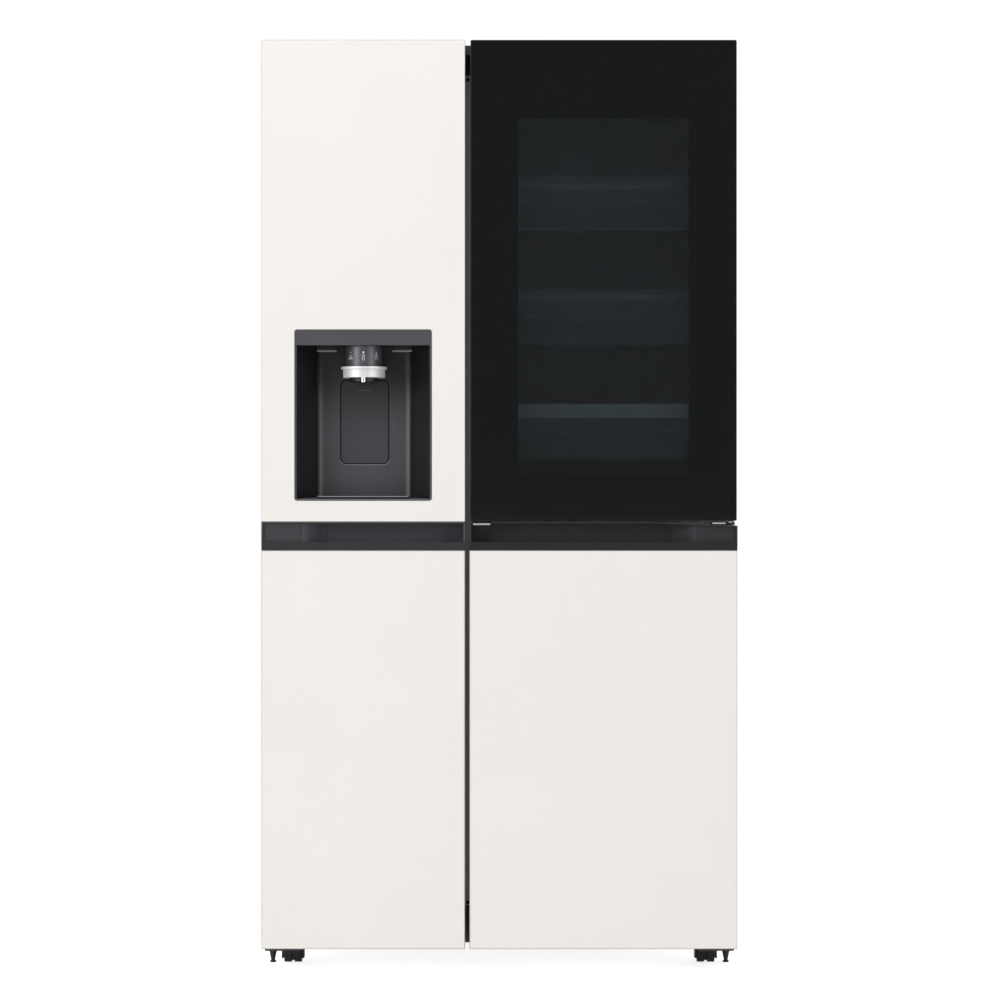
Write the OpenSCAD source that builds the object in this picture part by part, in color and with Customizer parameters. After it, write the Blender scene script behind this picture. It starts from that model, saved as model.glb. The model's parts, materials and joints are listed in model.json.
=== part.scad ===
// Side by side refrigerator with an ice and water dispenser in the freezer door
// and a glass view door in front of the fridge door.
// +Z is up, the fronts of the doors face -Y, and the origin is on the floor,
// under the middle of the cabinet. Sizes are in millimetres.

/* [Overall size] */
// Width across both doors
width = 913; // [820:1:1000]
// Height from the floor to the top of the doors
height = 1790; // [1740:1:1860]
// Depth from the door fronts to the rear cover
depth = 735; // [700:1:790]

/* [Doors] */
// Width of the freezer door
freezer_door_w = 390.5; // [360:0.5:410]
// Gap between the two doors
door_split = 8.6; // [7:0.1:12]
// Thickness of each door
door_t = 100; // [98:1:108]
// Gap between the doors and the cabinet
door_gap = 12; // [11:0.5:15]
// Height of the door bottoms above the floor
door_bottom = 47; // [45:1:60]
// Height of the step at the top of the doors that clears the hinge arms
top_step = 35; // [32:1:45]
// Thickness of the door front that stands above that step
top_lip_t = 45; // [38:1:47]
// Thickness of the painted door skins
skin_t = 2; // [1:0.5:3]
// Thickness of the inner door liners
door_liner_t = 3; // [2:0.5:4]
// Distance from the door's outer side to its hinge pin
hinge_in = 18; // [16:0.5:22]
// Distance from the door's front to its hinge pin
hinge_back = 60; // [56:1:64]
// Radius of the main hinge pins
pin_r = 6; // [4:0.5:7]
// Width of the door gaskets
gasket_w = 18; // [14:1:20]
// Depth of the door dykes behind the door's back
dyke_depth = 36; // [25:1:45]
// Reach of the door bins behind the door's back
bin_reach = 108; // [80:1:112]

/* [Handle bands] */
// Height of the top of the handle bands above the floor
handle_top = 866.5; // [840:0.5:900]
// Height of the handle bands
handle_h = 55; // [50:0.5:70]
// Height of the front lip under the finger pocket
handle_lip_h = 15.5; // [12:0.5:20]
// Depth of the handle bands into the door
handle_depth = 42; // [36:1:44]
// Thickness of the handle walls
handle_wall = 3; // [2:0.5:4]
// Thickness of the front lip
handle_lip_t = 8; // [5:0.5:10]
// Length of the shallow part at the hinge end of a handle band
handle_end = 71; // [50:1:90]
// Length of the ramp from that part down into the finger pocket
handle_ramp = 60; // [30:1:80]
// Depth of the band's face behind the lip at that end
handle_sink = 4; // [2:0.5:6]

/* [View door] */
// Thickness of the view door without its gasket
view_t = 44; // [42:1:46]
// Gap between the view door and the fridge door behind it
view_gap = 6; // [5:0.5:8]
// Thickness of the view door's glass
view_glass_t = 4; // [3:0.5:5]
// Distance from the view door's outer side to its hinge pin
view_hinge_in = 12; // [11:0.5:14]
// Distance from the view door's front to its hinge pin
view_hinge_back = 22; // [21:0.5:24]
// Thickness of the view door front that stands above its step
view_lip_t = 11; // [8:0.5:12]
// Radius of the view door's hinge pins
view_pin_r = 4; // [3:0.5:4.5]
// Width of the window
window_w = 328; // [280:1:340]
// Height of the window
window_h = 684; // [600:1:700]
// Distance from the top of the door to the window
window_drop = 150; // [140:1:180]
// Radius of the window's corners
window_r = 5; // [2:1:12]
// Width of the release button under the view door
button_w = 33; // [25:1:40]
// Travel of the release button
button_travel = 2; // [1:0.5:2.5]

/* [Dispenser] */
// Width of the dispenser
dispenser_w = 263; // [240:1:280]
// Height of the dispenser
dispenser_h = 328; // [310:1:345]
// Height of the dispenser's top above the floor
dispenser_top = 1234.7; // [1215:0.1:1240]
// Height of the dispenser's control strip
control_h = 30; // [24:1:36]
// Depth of the dispenser recess
recess_depth = 80; // [78:1:81]
// Depth of the room behind the recess's back wall for the lever
lever_room = 12; // [11:1:12]
// Gap round the lever
lever_gap = 2.2; // [1.5:0.1:3]
// Height that the recess floor rises from front to back
floor_rise = 4.7; // [2:0.1:8]
// Width of the flat back of the recess
recess_back_w = 178; // [160:1:190]
// Diameter of the dispenser head
head_d = 70; // [62:1:74]
// Diameter of the dispenser ring
ring_d = 81; // [78:1:84]
// Diameter of the flange on top of the ring
flange_d = 89; // [86:1:89]
// Diameter of the ice chute's mouth
chute_d = 52; // [44:1:54]
// Width of the dispenser lever
lever_w = 91; // [80:1:100]
// Height of the dispenser lever
lever_h = 160; // [130:1:165]
// Radius of the lever's corners
lever_r = 10; // [5:1:15]

/* [Cabinet] */
// Thickness of the side walls
side_wall = 45; // [42:1:60]
// Thickness of the top wall
top_wall = 45; // [40:1:60]
// Thickness of the rear wall
rear_wall = 55; // [45:1:70]
// Thickness of the wall between the compartments
middle_wall = 62; // [58:1:75]
// Inset of the case sides behind the door sides
case_inset = 3; // [2:1:6]
// Distance from the top of the doors down to the top of the case
case_drop = 40; // [38:1:46]
// Height of the cabinet's underside
base_z = 46; // [44:1:46]
// Height of the compartment floors
floor_z = 140; // [138:1:160]
// Thickness of the steel sheet of the case
sheet_t = 1.5; // [1:0.5:3]
// Thickness of the compartment liners
liner_t = 2; // [1.5:0.5:4]
// Depth of the rear cover behind the rear panel
rear_cover_t = 15; // [10:1:25]
// Height of the machine room
machine_h = 250; // [240:1:280]
// Depth of the machine room
machine_depth = 180; // [175:1:200]

/* [Shelves and drawers] */
// Thickness of the glass shelves
shelf_t = 5; // [4:1:8]
// Height of the lower drawers
lower_drawer_h = 180; // [150:1:190]
// Height of the upper drawers
upper_drawer_h = 170; // [140:1:190]
// Thickness of the drawer walls
drawer_wall = 3; // [2:0.5:4]
// Thickness of the bin walls
bin_wall = 3; // [2:0.5:4]

/* [Feet and rollers] */
// Radius of the rollers
roller_r = 21; // [18:0.5:21]
// Width of a roller
roller_w = 34; // [24:1:36]
// Thickness of the roller fork cheeks
cheek_t = 4; // [3:0.5:5]
// Radius of the roller axles
axle_r = 4; // [3:0.5:5]
// Height of the front rollers above the floor while the feet carry the load
roller_lift = 0.5; // [0.3:0.1:1]
// Thickness of the bottom hinge plates
hinge_plate_t = 3; // [2.5:0.5:3]
// Radius of the levelling feet at the top
foot_r = 10; // [8:0.5:10]

/* [Clearances] */
// Gap between pieces that move past each other
fit = 0.3; // [0.3:0.05:0.5]
// Room between the doors' inner pieces and the compartment walls
swing_room = 36; // [36:1:45]
// Gap between the drawers and what the doors carry
drawer_gap = 15; // [12:1:20]

/* [Hidden] */
$fn = 48;
over = 1;               // how far a cut runs past the face that it opens

// Planes from front to back; back_of(v) is the place a distance v behind the door fronts
function back_of(v) = -depth / 2 + v;
front_y = back_of(0);
case_y = back_of(door_t + door_gap);
rear_y = depth / 2 - rear_cover_t;
flange_t = 2;
kick_z = [base_z, floor_z - gasket_w - 4];
strip_z = [kick_z[1], height - case_drop - 15];

// Outer faces of the cabinet
case_x = width / 2 - case_inset;
case_top = height - case_drop;
door_top = height - top_step;

// Doors, from left to right
freezer_x = [-width / 2, -width / 2 + freezer_door_w];
fridge_x = [freezer_x[1] + door_split, width / 2];
freezer_pin = [freezer_x[0] + hinge_in, back_of(hinge_back)];
fridge_pin = [fridge_x[1] - hinge_in, back_of(hinge_back)];
view_pin = [fridge_x[1] - view_hinge_in, back_of(view_hinge_back)];
handle_z = [handle_top - handle_h, handle_top];
core_v = [skin_t, door_t - door_liner_t];
view_bottom = handle_top + 2;
view_x = [fridge_x[0] + 2, fridge_x[1] - 1.5];

// Compartments
middle_x = (freezer_x[1] + fridge_x[0]) / 2;
freezer_in_x = [-width / 2 + side_wall, middle_x - middle_wall / 2];
fridge_in_x = [middle_x + middle_wall / 2, width / 2 - side_wall];
ceiling_z = case_top - top_wall;
cavity_back = rear_y - rear_wall;
machine_y = rear_y - machine_depth;
machine_top = base_z + machine_h;
step_wall = 50;
step_y = machine_y - step_wall;
step_z = machine_top + step_wall;

// Drawers and shelves start behind what the doors carry
drawer_y = back_of(door_t + bin_reach + drawer_gap);
side_play = 8;
lower_drawer_z = [floor_z + fit, floor_z + fit + lower_drawer_h];
upper_drawer_z = [step_z + 30, step_z + 30 + upper_drawer_h];
duct_t = 8;
freezer_duct_y = cavity_back - 55;
fridge_duct_y = cavity_back - 14;
rib = 6;
rail = 14;
divider_z = step_z - 12;
first_shelf_z = upper_drawer_z[1] + 40;
shelf_count = 5;
shelf_z = [for (i = [0:shelf_count - 1]) first_shelf_z + i * (ceiling_z - first_shelf_z) / shelf_count];

// Dispenser: its middle, and the middle of its chute
dispenser_x = (freezer_x[0] + freezer_x[1]) / 2;
dispenser_z = [dispenser_top - dispenser_h, dispenser_top];
recess_z = [dispenser_z[0] + 3.3, dispenser_z[1] - control_h];
room_depth = recess_depth + lever_room;
chute_y = back_of(flange_d / 2 + 2.5);
housing_wall = 2.5;
head_z = recess_z[1] - 40;
flange_t2 = 5;
ring_h = 16;
ring_z = head_z - flange_t2 - ring_h;
mouth_z = ring_z - 7.5;
lever_z = [ring_z - 4.5 - lever_h, ring_z - 4.5];
lever_y = back_of(recess_depth);
lever_t = 4;
lever_pin = [lever_y + 7.5, lever_z[1] - 8];
lever_pin_r = 2.2;

// Where the view door's hinges and its release button sit
view_front = back_of(view_t + view_gap);
view_plate_x = [view_pin[0] - 37, view_pin[0] + 7];
view_plate_z = [handle_top - 5.5, handle_top - 2];
wedge = 8;
wedge_x = fridge_x[1] - 157;
button_x = [fridge_x[0] + 7, fridge_x[0] + 7 + button_w];
button_z = [handle_top - 6, handle_top - 3];
view_mid = (view_x[0] + view_x[1]) / 2;
window_z = [height - window_drop - window_h, height - window_drop];

// Inner pieces of the doors
dyke_in = 60;
dyke_rim = 22;
dyke_z = [floor_z + 16, ceiling_z - 16];
freezer_dyke_x = [freezer_x[0] + dyke_in, freezer_in_x[1] - 14];
fridge_dyke_x = [fridge_in_x[0] + 14, fridge_x[1] - dyke_in];
freezer_bin_x = [freezer_dyke_x[0] + dyke_rim, freezer_in_x[1] - swing_room];
fridge_bin_x = [fridge_in_x[0] + swing_room, fridge_dyke_x[1] - dyke_rim];
bin_h = 110;
liner_y = [back_of(door_t - door_liner_t), back_of(door_t)];

// Ice: the shaft in the door, the bucket and its auger
shaft_w = 34;
shaft_top = dispenser_z[1] + 76;
flap_pin = [chute_y + chute_d / 2 + 7, dispenser_z[1] + 3.8];
bucket_x = [dispenser_x - 80, dispenser_x + 80];
bucket_z = [shaft_top - 2, shaft_top + 250];
auger_z = bucket_z[0] + 42;
auger_y = back_of(door_t + bin_reach / 2);

// Feet and rollers
roller_x = width / 2 - 51.5;
foot_x = width / 2 - 11.5;
roller_y = back_of(168);
rear_roller_y = rear_y - 50;
plate_z = [base_z - hinge_plate_t, base_z];
fork = roller_w / 2 + 1;

// Colours
cream = [0.94, 0.92, 0.9];
dark_grey = [0.24, 0.24, 0.25];
near_black = [0.09, 0.1, 0.11];
liner_white = [0.92, 0.93, 0.94];
clear_blue = [0.75, 0.85, 0.9, 0.5];
steel = [0.75, 0.76, 0.77];
rubber_grey = [0.55, 0.55, 0.55];

// ---- Helpers ----

// A block between two values on each axis
module span(x, y, z)
    translate([x[0], y[0], z[0]])
        cube([x[1] - x[0], y[1] - y[0], z[1] - z[0]]);

// An outline drawn in y and z, run along x
module run_x(x, points)
    translate([x[0], 0, 0])
        rotate([90, 0, 90])
            linear_extrude(x[1] - x[0])
                polygon(points);

// A flat shape drawn in x and z, run along y
module run_y(y)
    translate([0, y[1], 0])
        rotate([90, 0, 0])
            linear_extrude(y[1] - y[0])
                children();

// A cylinder that lies along x, or along y
module rod_x(x, y, z, r)
    translate([x[0], y, z])
        rotate([0, 90, 0])
            cylinder(h = x[1] - x[0], r = r);
module rod_y(x, y, z, r)
    translate([x, y[1], z])
        rotate([90, 0, 0])
            cylinder(h = y[1] - y[0], r = r);

// An upright cylinder
module post(x, y, z, r)
    translate([x, y, z[0]])
        cylinder(h = z[1] - z[0], r = r);

// The corner points of a rounded rectangle between two values on each axis
function arc(cx, cy, r, start, steps) =
    [for (i = [0:steps]) [cx + r * cos(start + 90 * i / steps), cy + r * sin(start + 90 * i / steps)]];
function rounded(a, b, r, steps = 6) = concat(
    arc(a[1] - r, b[1] - r, r, 0, steps),
    arc(a[0] + r, b[1] - r, r, 90, steps),
    arc(a[0] + r, b[0] + r, r, 180, steps),
    arc(a[1] - r, b[0] + r, r, 270, steps));
function grow(a, g) = [a[0] - g, a[1] + g];

// An open-topped box with walls of thickness t
module tub(x, y, z, t)
    difference() {
        span(x, y, z);
        span(grow(x, -t), grow(y, -t), [z[0] + t, z[1] + over]);
    }

module both_sides() {
    children();
    mirror([1, 0, 0]) children();
}

// ---- Cabinet ----

// The side outline of a compartment, grown by g, with its mouth at y = mouth
function cavity_outline(g, mouth) = [
    [mouth, floor_z - g], [step_y + g, floor_z - g], [step_y + g, step_z - g],
    [cavity_back + g, step_z - g], [cavity_back + g, ceiling_z + g], [mouth, ceiling_z + g]];

module liner(x)
    difference() {
        run_x(grow(x, liner_t), cavity_outline(liner_t, case_y));
        run_x(x, cavity_outline(0, case_y - over));
    }

// Ledges on the walls that carry a shelf or a drawer
module ledges(x, y, z, w)
    for (side = [[x[0], x[0] + w], [x[1] - w, x[1]]])
        span(side, y, [z - rib, z]);

module outer_case() color(cream)
    difference() {
        span([-case_x, case_x], [case_y, rear_y], [base_z, case_top]);
        span(grow([-case_x, case_x], -sheet_t), [case_y + flange_t, rear_y + over],
            [base_z + sheet_t, case_top - sheet_t]);
        for (x = [freezer_in_x, fridge_in_x])
            span(grow(x, liner_t), [case_y - over, case_y + flange_t + over],
                [floor_z - liner_t, ceiling_z + liner_t]);
        span([freezer_in_x[1], fridge_in_x[0]], [case_y - over, case_y + flange_t + over],
            strip_z);
        span(grow([-case_x, case_x], -sheet_t), [machine_y, rear_y + over],
            [base_z - over, base_z + sheet_t + over]);
    }

module rear_panel() color(steel)
    difference() {
        span([-case_x, case_x], [rear_y, rear_y + sheet_t], [machine_top, case_top]);
        for (i = [-3:3])
            span(grow([1, 1] * i * 2.6 * slot_pitch, 30), [rear_y + sheet_t / 2, rear_y + sheet_t + over],
                [machine_top + 60, case_top - 60]);
    }

module insulation_foam() color([0.95, 0.88, 0.6])
    difference() {
        span(grow([-case_x, case_x], -sheet_t), [case_y + flange_t, rear_y],
            [base_z + sheet_t, case_top - sheet_t]);
        for (x = [freezer_in_x, fridge_in_x])
            run_x(grow(x, liner_t), cavity_outline(liner_t, case_y));
        span([-width, width], [machine_y, rear_y + over], [base_z, machine_top]);
    }

module fitted_liner(x, duct_y) {
    liner(x);
    ledges(x, [drawer_y, duct_y], upper_drawer_z[0] - fit, rail);
    ledges(x, [drawer_y, step_y], divider_z, rib);
    for (z = shelf_z) ledges(x, [drawer_y, duct_y], z, rib);
}
module freezer_liner() color(liner_white) fitted_liner(freezer_in_x, freezer_duct_y);
module fridge_liner() color(liner_white) fitted_liner(fridge_in_x, fridge_duct_y);

// A strip that covers the wall between the compartments, with a raised rib down its middle
module centre_mullion() color([0.27, 0.27, 0.26]) {
    difference() {
        span([freezer_in_x[1], fridge_in_x[0]], [case_y, case_y + flange_t], strip_z);
        for (x = [freezer_in_x[1] - over, fridge_in_x[0] - liner_t])
            span([x, x + liner_t + over], [case_y - over, case_y + flange_t + over],
                [floor_z - liner_t, ceiling_z + liner_t]);
    }
    span(grow([middle_x, middle_x], 3), [case_y - 1.5, case_y], grow(strip_z, -5));
}

slot_pitch = 0.046 * width;

// A plate under the compartments, with a screw at its middle
module kick_plate() color(dark_grey) {
    difference() {
        span(grow([-case_x, case_x], -12), [case_y - 5, case_y], kick_z);
        for (i = [-9:9])
            if (abs(i) > 2)
                span(grow([1, 1] * i * slot_pitch, 15), [case_y - 5 - over, case_y - 2],
                    [base_z + 20, base_z + 24]);
    }
    rod_y(middle_x, [case_y - 6.5, case_y - 4], kick_z[1] - 18, 4);
}

// A shallow cover over the hinge brackets, with a front lip that hangs behind the doors
module top_cover() color(dark_grey) {
    lip = [case_y - 5, case_y - 1];
    difference() {
        span(grow([-case_x, case_x], -4), [case_y + 4, case_y + 210], [case_top, height - 4]);
        span(grow([-case_x, case_x], -7), [case_y + 7, case_y + 207], [case_top - over, height - 7]);
        both_sides()
            span([freezer_pin[0] - 6, freezer_pin[0] + 34], [case_y, case_y + 12],
                [case_top - over, door_top + 10]);
    }
    span([freezer_pin[0] + 8, fridge_pin[0] - 8], [back_of(hinge_back - 9), case_y + 5],
        [door_top + 12, height - 4]);
    span([freezer_pin[0] + 60, fridge_pin[0] - 60], lip, [case_top - 15, door_top + 13]);
}

// An arm on each side of the case top that carries the door's upper pin
module top_hinge(pin) {
    arm_z = [door_top + 2.5, door_top + 7.5];
    seat = [case_y + 14, case_y + 90];
    span([pin - 4, pin + 30], [freezer_pin[1], seat[1]], arm_z);
    span([pin - 4, pin + 30], seat, [case_top, arm_z[1]]);
    post(pin, freezer_pin[1], arm_z, pin_r * 2);
    post(pin, freezer_pin[1], [door_top - 35, arm_z[1]], pin_r);
    for (y = [seat[0] + 20, seat[1] - 20]) post(pin + 13, y, [arm_z[1], arm_z[1] + 4], 6);
}
module top_hinges() color(steel) {
    top_hinge(freezer_pin[0]);
    mirror([1, 0, 0]) top_hinge(-fridge_pin[0]);
}

// A plate on each side under the case that carries the door's lower pin and the front roller
module bottom_hinge() {
    x = [-width / 2 + 2.5, -roller_x + fork + cheek_t];
    difference() {
        union() {
            span(x, [back_of(46), roller_y + 40], plate_z);
            post(freezer_pin[0], freezer_pin[1], [plate_z[0], plate_z[1] + 28], pin_r);
            for (side = [-1, 1])
                span(grow([-roller_x + side * (fork + cheek_t / 2), -roller_x + side * (fork + cheek_t / 2)],
                    cheek_t / 2), [roller_y - 14, roller_y + 14], [roller_r - 12, plate_z[0]]);
            rod_x([-roller_x - fork - cheek_t, -roller_x + fork + cheek_t], roller_y,
                roller_r + roller_lift, axle_r);
        }
        post(-foot_x, roller_y, grow(plate_z, over), 5 + fit);
        span([-roller_x - fork, -roller_x + fork], [roller_y - roller_r - 2, roller_y + roller_r + 2],
            grow(plate_z, over));
    }
}
module bottom_hinges() color(steel) both_sides() bottom_hinge();

module levelling_foot(x) {
    translate([x, roller_y, 0]) {
        cylinder(h = 3, r = foot_r * 0.6);
        translate([0, 0, 3]) cylinder(h = 3, r1 = foot_r * 0.4, r2 = foot_r * 0.4);
        translate([0, 0, 6]) cylinder(h = 28, r1 = foot_r * 0.4, r2 = foot_r);
        translate([0, 0, 34]) cylinder(h = plate_z[1] - fit - 34, r = 5);
    }
}
module levelling_foot_left() color(near_black) levelling_foot(-foot_x);
module levelling_foot_right() color(near_black) levelling_foot(foot_x);

// A grooved wheel on each side that turns on a fixed axle
module rollers(y, z)
    both_sides()
        difference() {
            union() {
                rod_x([roller_x - roller_w / 2, roller_x - 3], y, z, roller_r);
                rod_x([roller_x - 4, roller_x + 4], y, z, roller_r - 3);
                rod_x([roller_x + 3, roller_x + roller_w / 2], y, z, roller_r);
            }
            rod_x([roller_x - roller_w, roller_x + roller_w], y, z, axle_r + fit);
        }
module front_rollers() color(dark_grey) rollers(roller_y, roller_r + roller_lift);
module rear_rollers() color(dark_grey) rollers(rear_roller_y, roller_r);

// ---- Inside the compartments ----

// A glass shelf with a trim bar along its front
module shelf(x, y, z) {
    span(grow(x, -1), [y[0] + 10, y[1]], [z, z + shelf_t]);
    span(grow(x, -1), [y[0], y[0] + 12], [z, z + shelf_t + 5]);
}
module shelves(x, duct_y) {
    for (z = shelf_z) shelf(x, [drawer_y, duct_y - 2], z);
    shelf(x, [drawer_y, step_y - 2], divider_z);
}
module freezer_shelves() color(clear_blue) shelves(freezer_in_x, freezer_duct_y);
module fridge_shelves() color(clear_blue) shelves(fridge_in_x, fridge_duct_y);

// An open drawer with a grip along the top of its front
module drawer(x, y, z) {
    tub(x, [y[0] + 14, y[1]], z, drawer_wall);
    span(x, [y[0], y[0] + 15], [z[1] - 4, z[1]]);
    span(x, [y[0], y[0] + 4], [z[1] - 22, z[1] - 3]);
}
module drawer_pair_lower(x) drawer(grow(x, -side_play), [drawer_y, step_y - 6], lower_drawer_z);
module drawer_pair_upper(x, duct_y) drawer(grow(x, -side_play), [drawer_y, duct_y - 6], upper_drawer_z);
module upper_crisper() color(clear_blue) drawer_pair_upper(fridge_in_x, fridge_duct_y);
module lower_crisper() color(clear_blue) drawer_pair_lower(fridge_in_x);
module upper_freezer_drawer() color(clear_blue) drawer_pair_upper(freezer_in_x, freezer_duct_y);
module lower_freezer_drawer() color(clear_blue) drawer_pair_lower(freezer_in_x);

// A cover over a space on the rear wall, with rows of air slots
module air_duct(x, y, z, slot_w) {
    x_mid = (x[0] + x[1]) / 2;
    difference() {
        span(x, [y, cavity_back], z);
        span(grow(x, -3), [y + 4, cavity_back + over], grow(z, -3));
        for (row = [1:4])
            for (i = [-1, 0, 1])
                span(grow([x_mid, x_mid] + [i, i] * slot_w * 1.4, slot_w / 2), [y - over, y + 4 + over],
                    [z[1] - row * 200, z[1] - row * 200 + 8]);
    }
}
module freezer_air_duct() color(liner_white)
    air_duct(grow(freezer_in_x, -rib - 1), freezer_duct_y, [step_z, ceiling_z - 30], 60);
module fridge_air_duct() color(liner_white)
    air_duct(grow(fridge_in_x, -110), fridge_duct_y, [step_z, ceiling_z - 30], 40);

freezer_mid = (freezer_in_x[0] + freezer_in_x[1]) / 2;
fan_z = step_z + 430;
coil_r = 4;

// Finned coil behind the freezer's rear duct, with the fan motor above it
module evaporator() color(steel) {
    coil_y = [freezer_duct_y + 12, cavity_back - 4];
    coil_z = [step_z + 40, step_z + 320];
    for (i = [0:16])
        span([freezer_mid - 96 + i * 12, freezer_mid - 95 + i * 12], coil_y, coil_z);
    for (y = [coil_y[0] + 9, coil_y[1] - 9])
        for (z = [coil_z[0] + 20:40:coil_z[1] - 10])
            rod_x([freezer_mid - 102, freezer_mid + 102], y, z, coil_r);
    rod_y(freezer_mid, [cavity_back - 10, cavity_back], fan_z, 18);
    rod_y(freezer_mid, [cavity_back - 34, cavity_back - 9], fan_z, 2);
}

// Five tilted blades round a hub, on the z axis
module fan(r, h)
    difference() {
        union() {
            cylinder(h = h, r = 14);
            for (i = [0:4])
                rotate([0, 0, i * 72])
                    translate([11, 0, h / 2])
                        rotate([28, 0, 0])
                            translate([0, -r * 0.3, -0.8])
                                cube([r - 12, r * 0.6, 1.6]);
        }
        translate([0, 0, -over]) cylinder(h = h + 2 * over, r = 2 + fit);
    }
fan_h = 16;
module evaporator_fan() color(liner_white)
    translate([freezer_mid, cavity_back - 13, fan_z]) rotate([90, 0, 0]) fan(46, fan_h);

// ---- Machine room ----

machine_mid = (machine_y + rear_y) / 2;
tray_z = [base_z, base_z + 2];
cool_x = [-0.416, -0.208] * width;
fan_x = cool_x[1] + 40;
cond_fan_z = base_z + 110;
compressor_x = 0.208 * width;

module machine_tray() color(steel) {
    span(grow([-case_x, case_x], -sheet_t), [machine_y, rear_y], tray_z);
    both_sides() {
        for (side = [-1, 1])
            span(grow([1, 1] * (roller_x + side * (fork + cheek_t / 2)), cheek_t / 2),
                [rear_roller_y - 14, rear_roller_y + 14], [roller_r - 12, base_z]);
        rod_x([roller_x - fork - cheek_t, roller_x + fork + cheek_t], rear_roller_y, roller_r, axle_r);
    }
    // stand, motor and shaft of the condenser fan
    span([fan_x + 22, fan_x + 30], [machine_mid - 20, machine_mid + 20], [tray_z[1], cond_fan_z]);
    rod_x([fan_x + 21, fan_x + 50], machine_mid, cond_fan_z, 20);
    rod_x([fan_x - 2, fan_x + 22], machine_mid, cond_fan_z, 2);
}

module condenser_fan() color(near_black)
    translate([fan_x, machine_mid, cond_fan_z]) rotate([0, 90, 0]) fan(72, fan_h);

// A domed steel shell on three rubber-footed lugs
module compressor() color(near_black) {
    shell_r = 72;
    body_z = [tray_z[1] + 26, tray_z[1] + 150];
    translate([compressor_x, machine_mid, 0])
        rotate_extrude()
            polygon(concat([[0, body_z[0] - 14], [shell_r - 30, body_z[0] - 14]],
                [[shell_r, body_z[0] + 12], [shell_r, body_z[1] - 10]],
                [for (a = [15:15:75]) [shell_r * cos(a), body_z[1] - 10 + 34 * sin(a)]],
                [[0, body_z[1] + 24]]));
    for (x = [-60, 60])
        for (y = [-50, 50])
            post(compressor_x + x, machine_mid + y, [tray_z[1], tray_z[1] + 14], 10);
    for (y = [-50, 50])
        span([compressor_x - 72, compressor_x + 72], [machine_mid + y - 11, machine_mid + y + 11],
            [tray_z[1] + 14, tray_z[1] + 18]);
}

module condenser() color(near_black) {
    coil_y = [machine_y + 24, rear_y - 24];
    coil_z = [base_z + 44, base_z + 200];
    for (i = [0:12])
        span([cool_x[0] + 8 + i * 14, cool_x[0] + 9 + i * 14], coil_y, coil_z);
    for (y = [coil_y[0] + 22:44:coil_y[1] - 10])
        for (z = [coil_z[0] + 20:38:coil_z[1] - 10])
            rod_x(cool_x, y, z, coil_r);
}

module drain_pan() color(liner_white)
    tub(grow(cool_x, 12), [machine_y + 14, rear_y - 14], [tray_z[1], tray_z[1] + 32], 2);

inlet_x = 0.361 * width;
inlet_z = base_z + 60;
inlet_w = 30;
inlet_h = 22;

// A vented panel over the machine room
module rear_cover() color(dark_grey)
    difference() {
        span([-case_x, case_x], [rear_y, depth / 2], [base_z, machine_top]);
        span(grow([-case_x, case_x], -2), [rear_y - over, depth / 2 - 2], grow([base_z, machine_top], -2));
        for (row = [0:7])
            for (i = [-4:2])
                span(grow([1, 1] * i * 2 * slot_pitch, 32), [rear_y, depth / 2 + over],
                    [base_z + 50 + row * 20, base_z + 58 + row * 20]);
        span(grow([inlet_x, inlet_x], inlet_w / 2), [rear_y, depth / 2 + over],
            grow([inlet_z, inlet_z], inlet_h / 2));
    }

// The socket that takes the mains lead, with its three pins
module power_inlet() color(near_black) {
    difference() {
        span(grow([inlet_x, inlet_x], inlet_w / 2), [depth / 2 - 14, depth / 2],
            grow([inlet_z, inlet_z], inlet_h / 2));
        span(grow([inlet_x, inlet_x], inlet_w / 2 - 3), [depth / 2 - 11, depth / 2 + over],
            grow([inlet_z, inlet_z], inlet_h / 2 - 3));
    }
    for (i = [-1, 0, 1])
        span(grow([1, 1] * (inlet_x + i * 7), 1), [depth / 2 - 12, depth / 2 - 3],
            grow([inlet_z, inlet_z], 2.5));
}

// ---- Pieces that both doors have ----

// A painted skin, folded back all round its edges
module skin(x, z, fold)
    difference() {
        span(x, [front_y, front_y + fold], z);
        span(grow(x, -skin_t), [front_y + skin_t, front_y + fold + over], grow(z, -skin_t));
    }

// The foamed body of a door from its skin to its liner, with a step at its top
module door_body(x)
    run_x(grow(x, -skin_t), [
        [back_of(core_v[0]), door_bottom + skin_t], [back_of(top_lip_t), door_bottom + skin_t],
        [back_of(top_lip_t), door_bottom], [back_of(core_v[1]), door_bottom],
        [back_of(core_v[1]), door_top], [back_of(top_lip_t), door_top],
        [back_of(top_lip_t), height - skin_t], [back_of(core_v[0]), height - skin_t]]);

// Room in a door body for the handle band and the folds of the skins beside it
module handle_room(x) {
    span(grow(x, over), [front_y - over, back_of(handle_depth)], handle_z);
    for (z = [handle_z[0] - skin_t, handle_z[1]])
        span(grow(x, over), [front_y - over, back_of(top_lip_t)], [z, z + skin_t]);
}

// Bores for a door's upper and lower pins
module pin_bores(pin) {
    post(pin[0], pin[1], [door_top - 36, door_top + over], pin_r + fit);
    post(pin[0], pin[1], [door_bottom - over, plate_z[1] + 30], pin_r + fit);
}

// A magnetic seal that faces the front of the cabinet round one compartment
module door_gasket(x)
    run_y([back_of(door_t), case_y - fit])
        difference() {
            polygon(rounded(grow(x, 3 + gasket_w), grow([floor_z, ceiling_z], 3 + gasket_w), 12));
            polygon(rounded(grow(x, 3), grow([floor_z, ceiling_z], 3), 4));
        }

// The raised ridge that keeps the warm air out and carries the bins
module dyke(x, bin_x)
    run_y([back_of(door_t) - over, back_of(door_t + dyke_depth)])
        difference() {
            polygon(rounded(x, dyke_z, 14));
            polygon(rounded(bin_x, grow(dyke_z, -dyke_rim), 8));
        }

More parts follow.
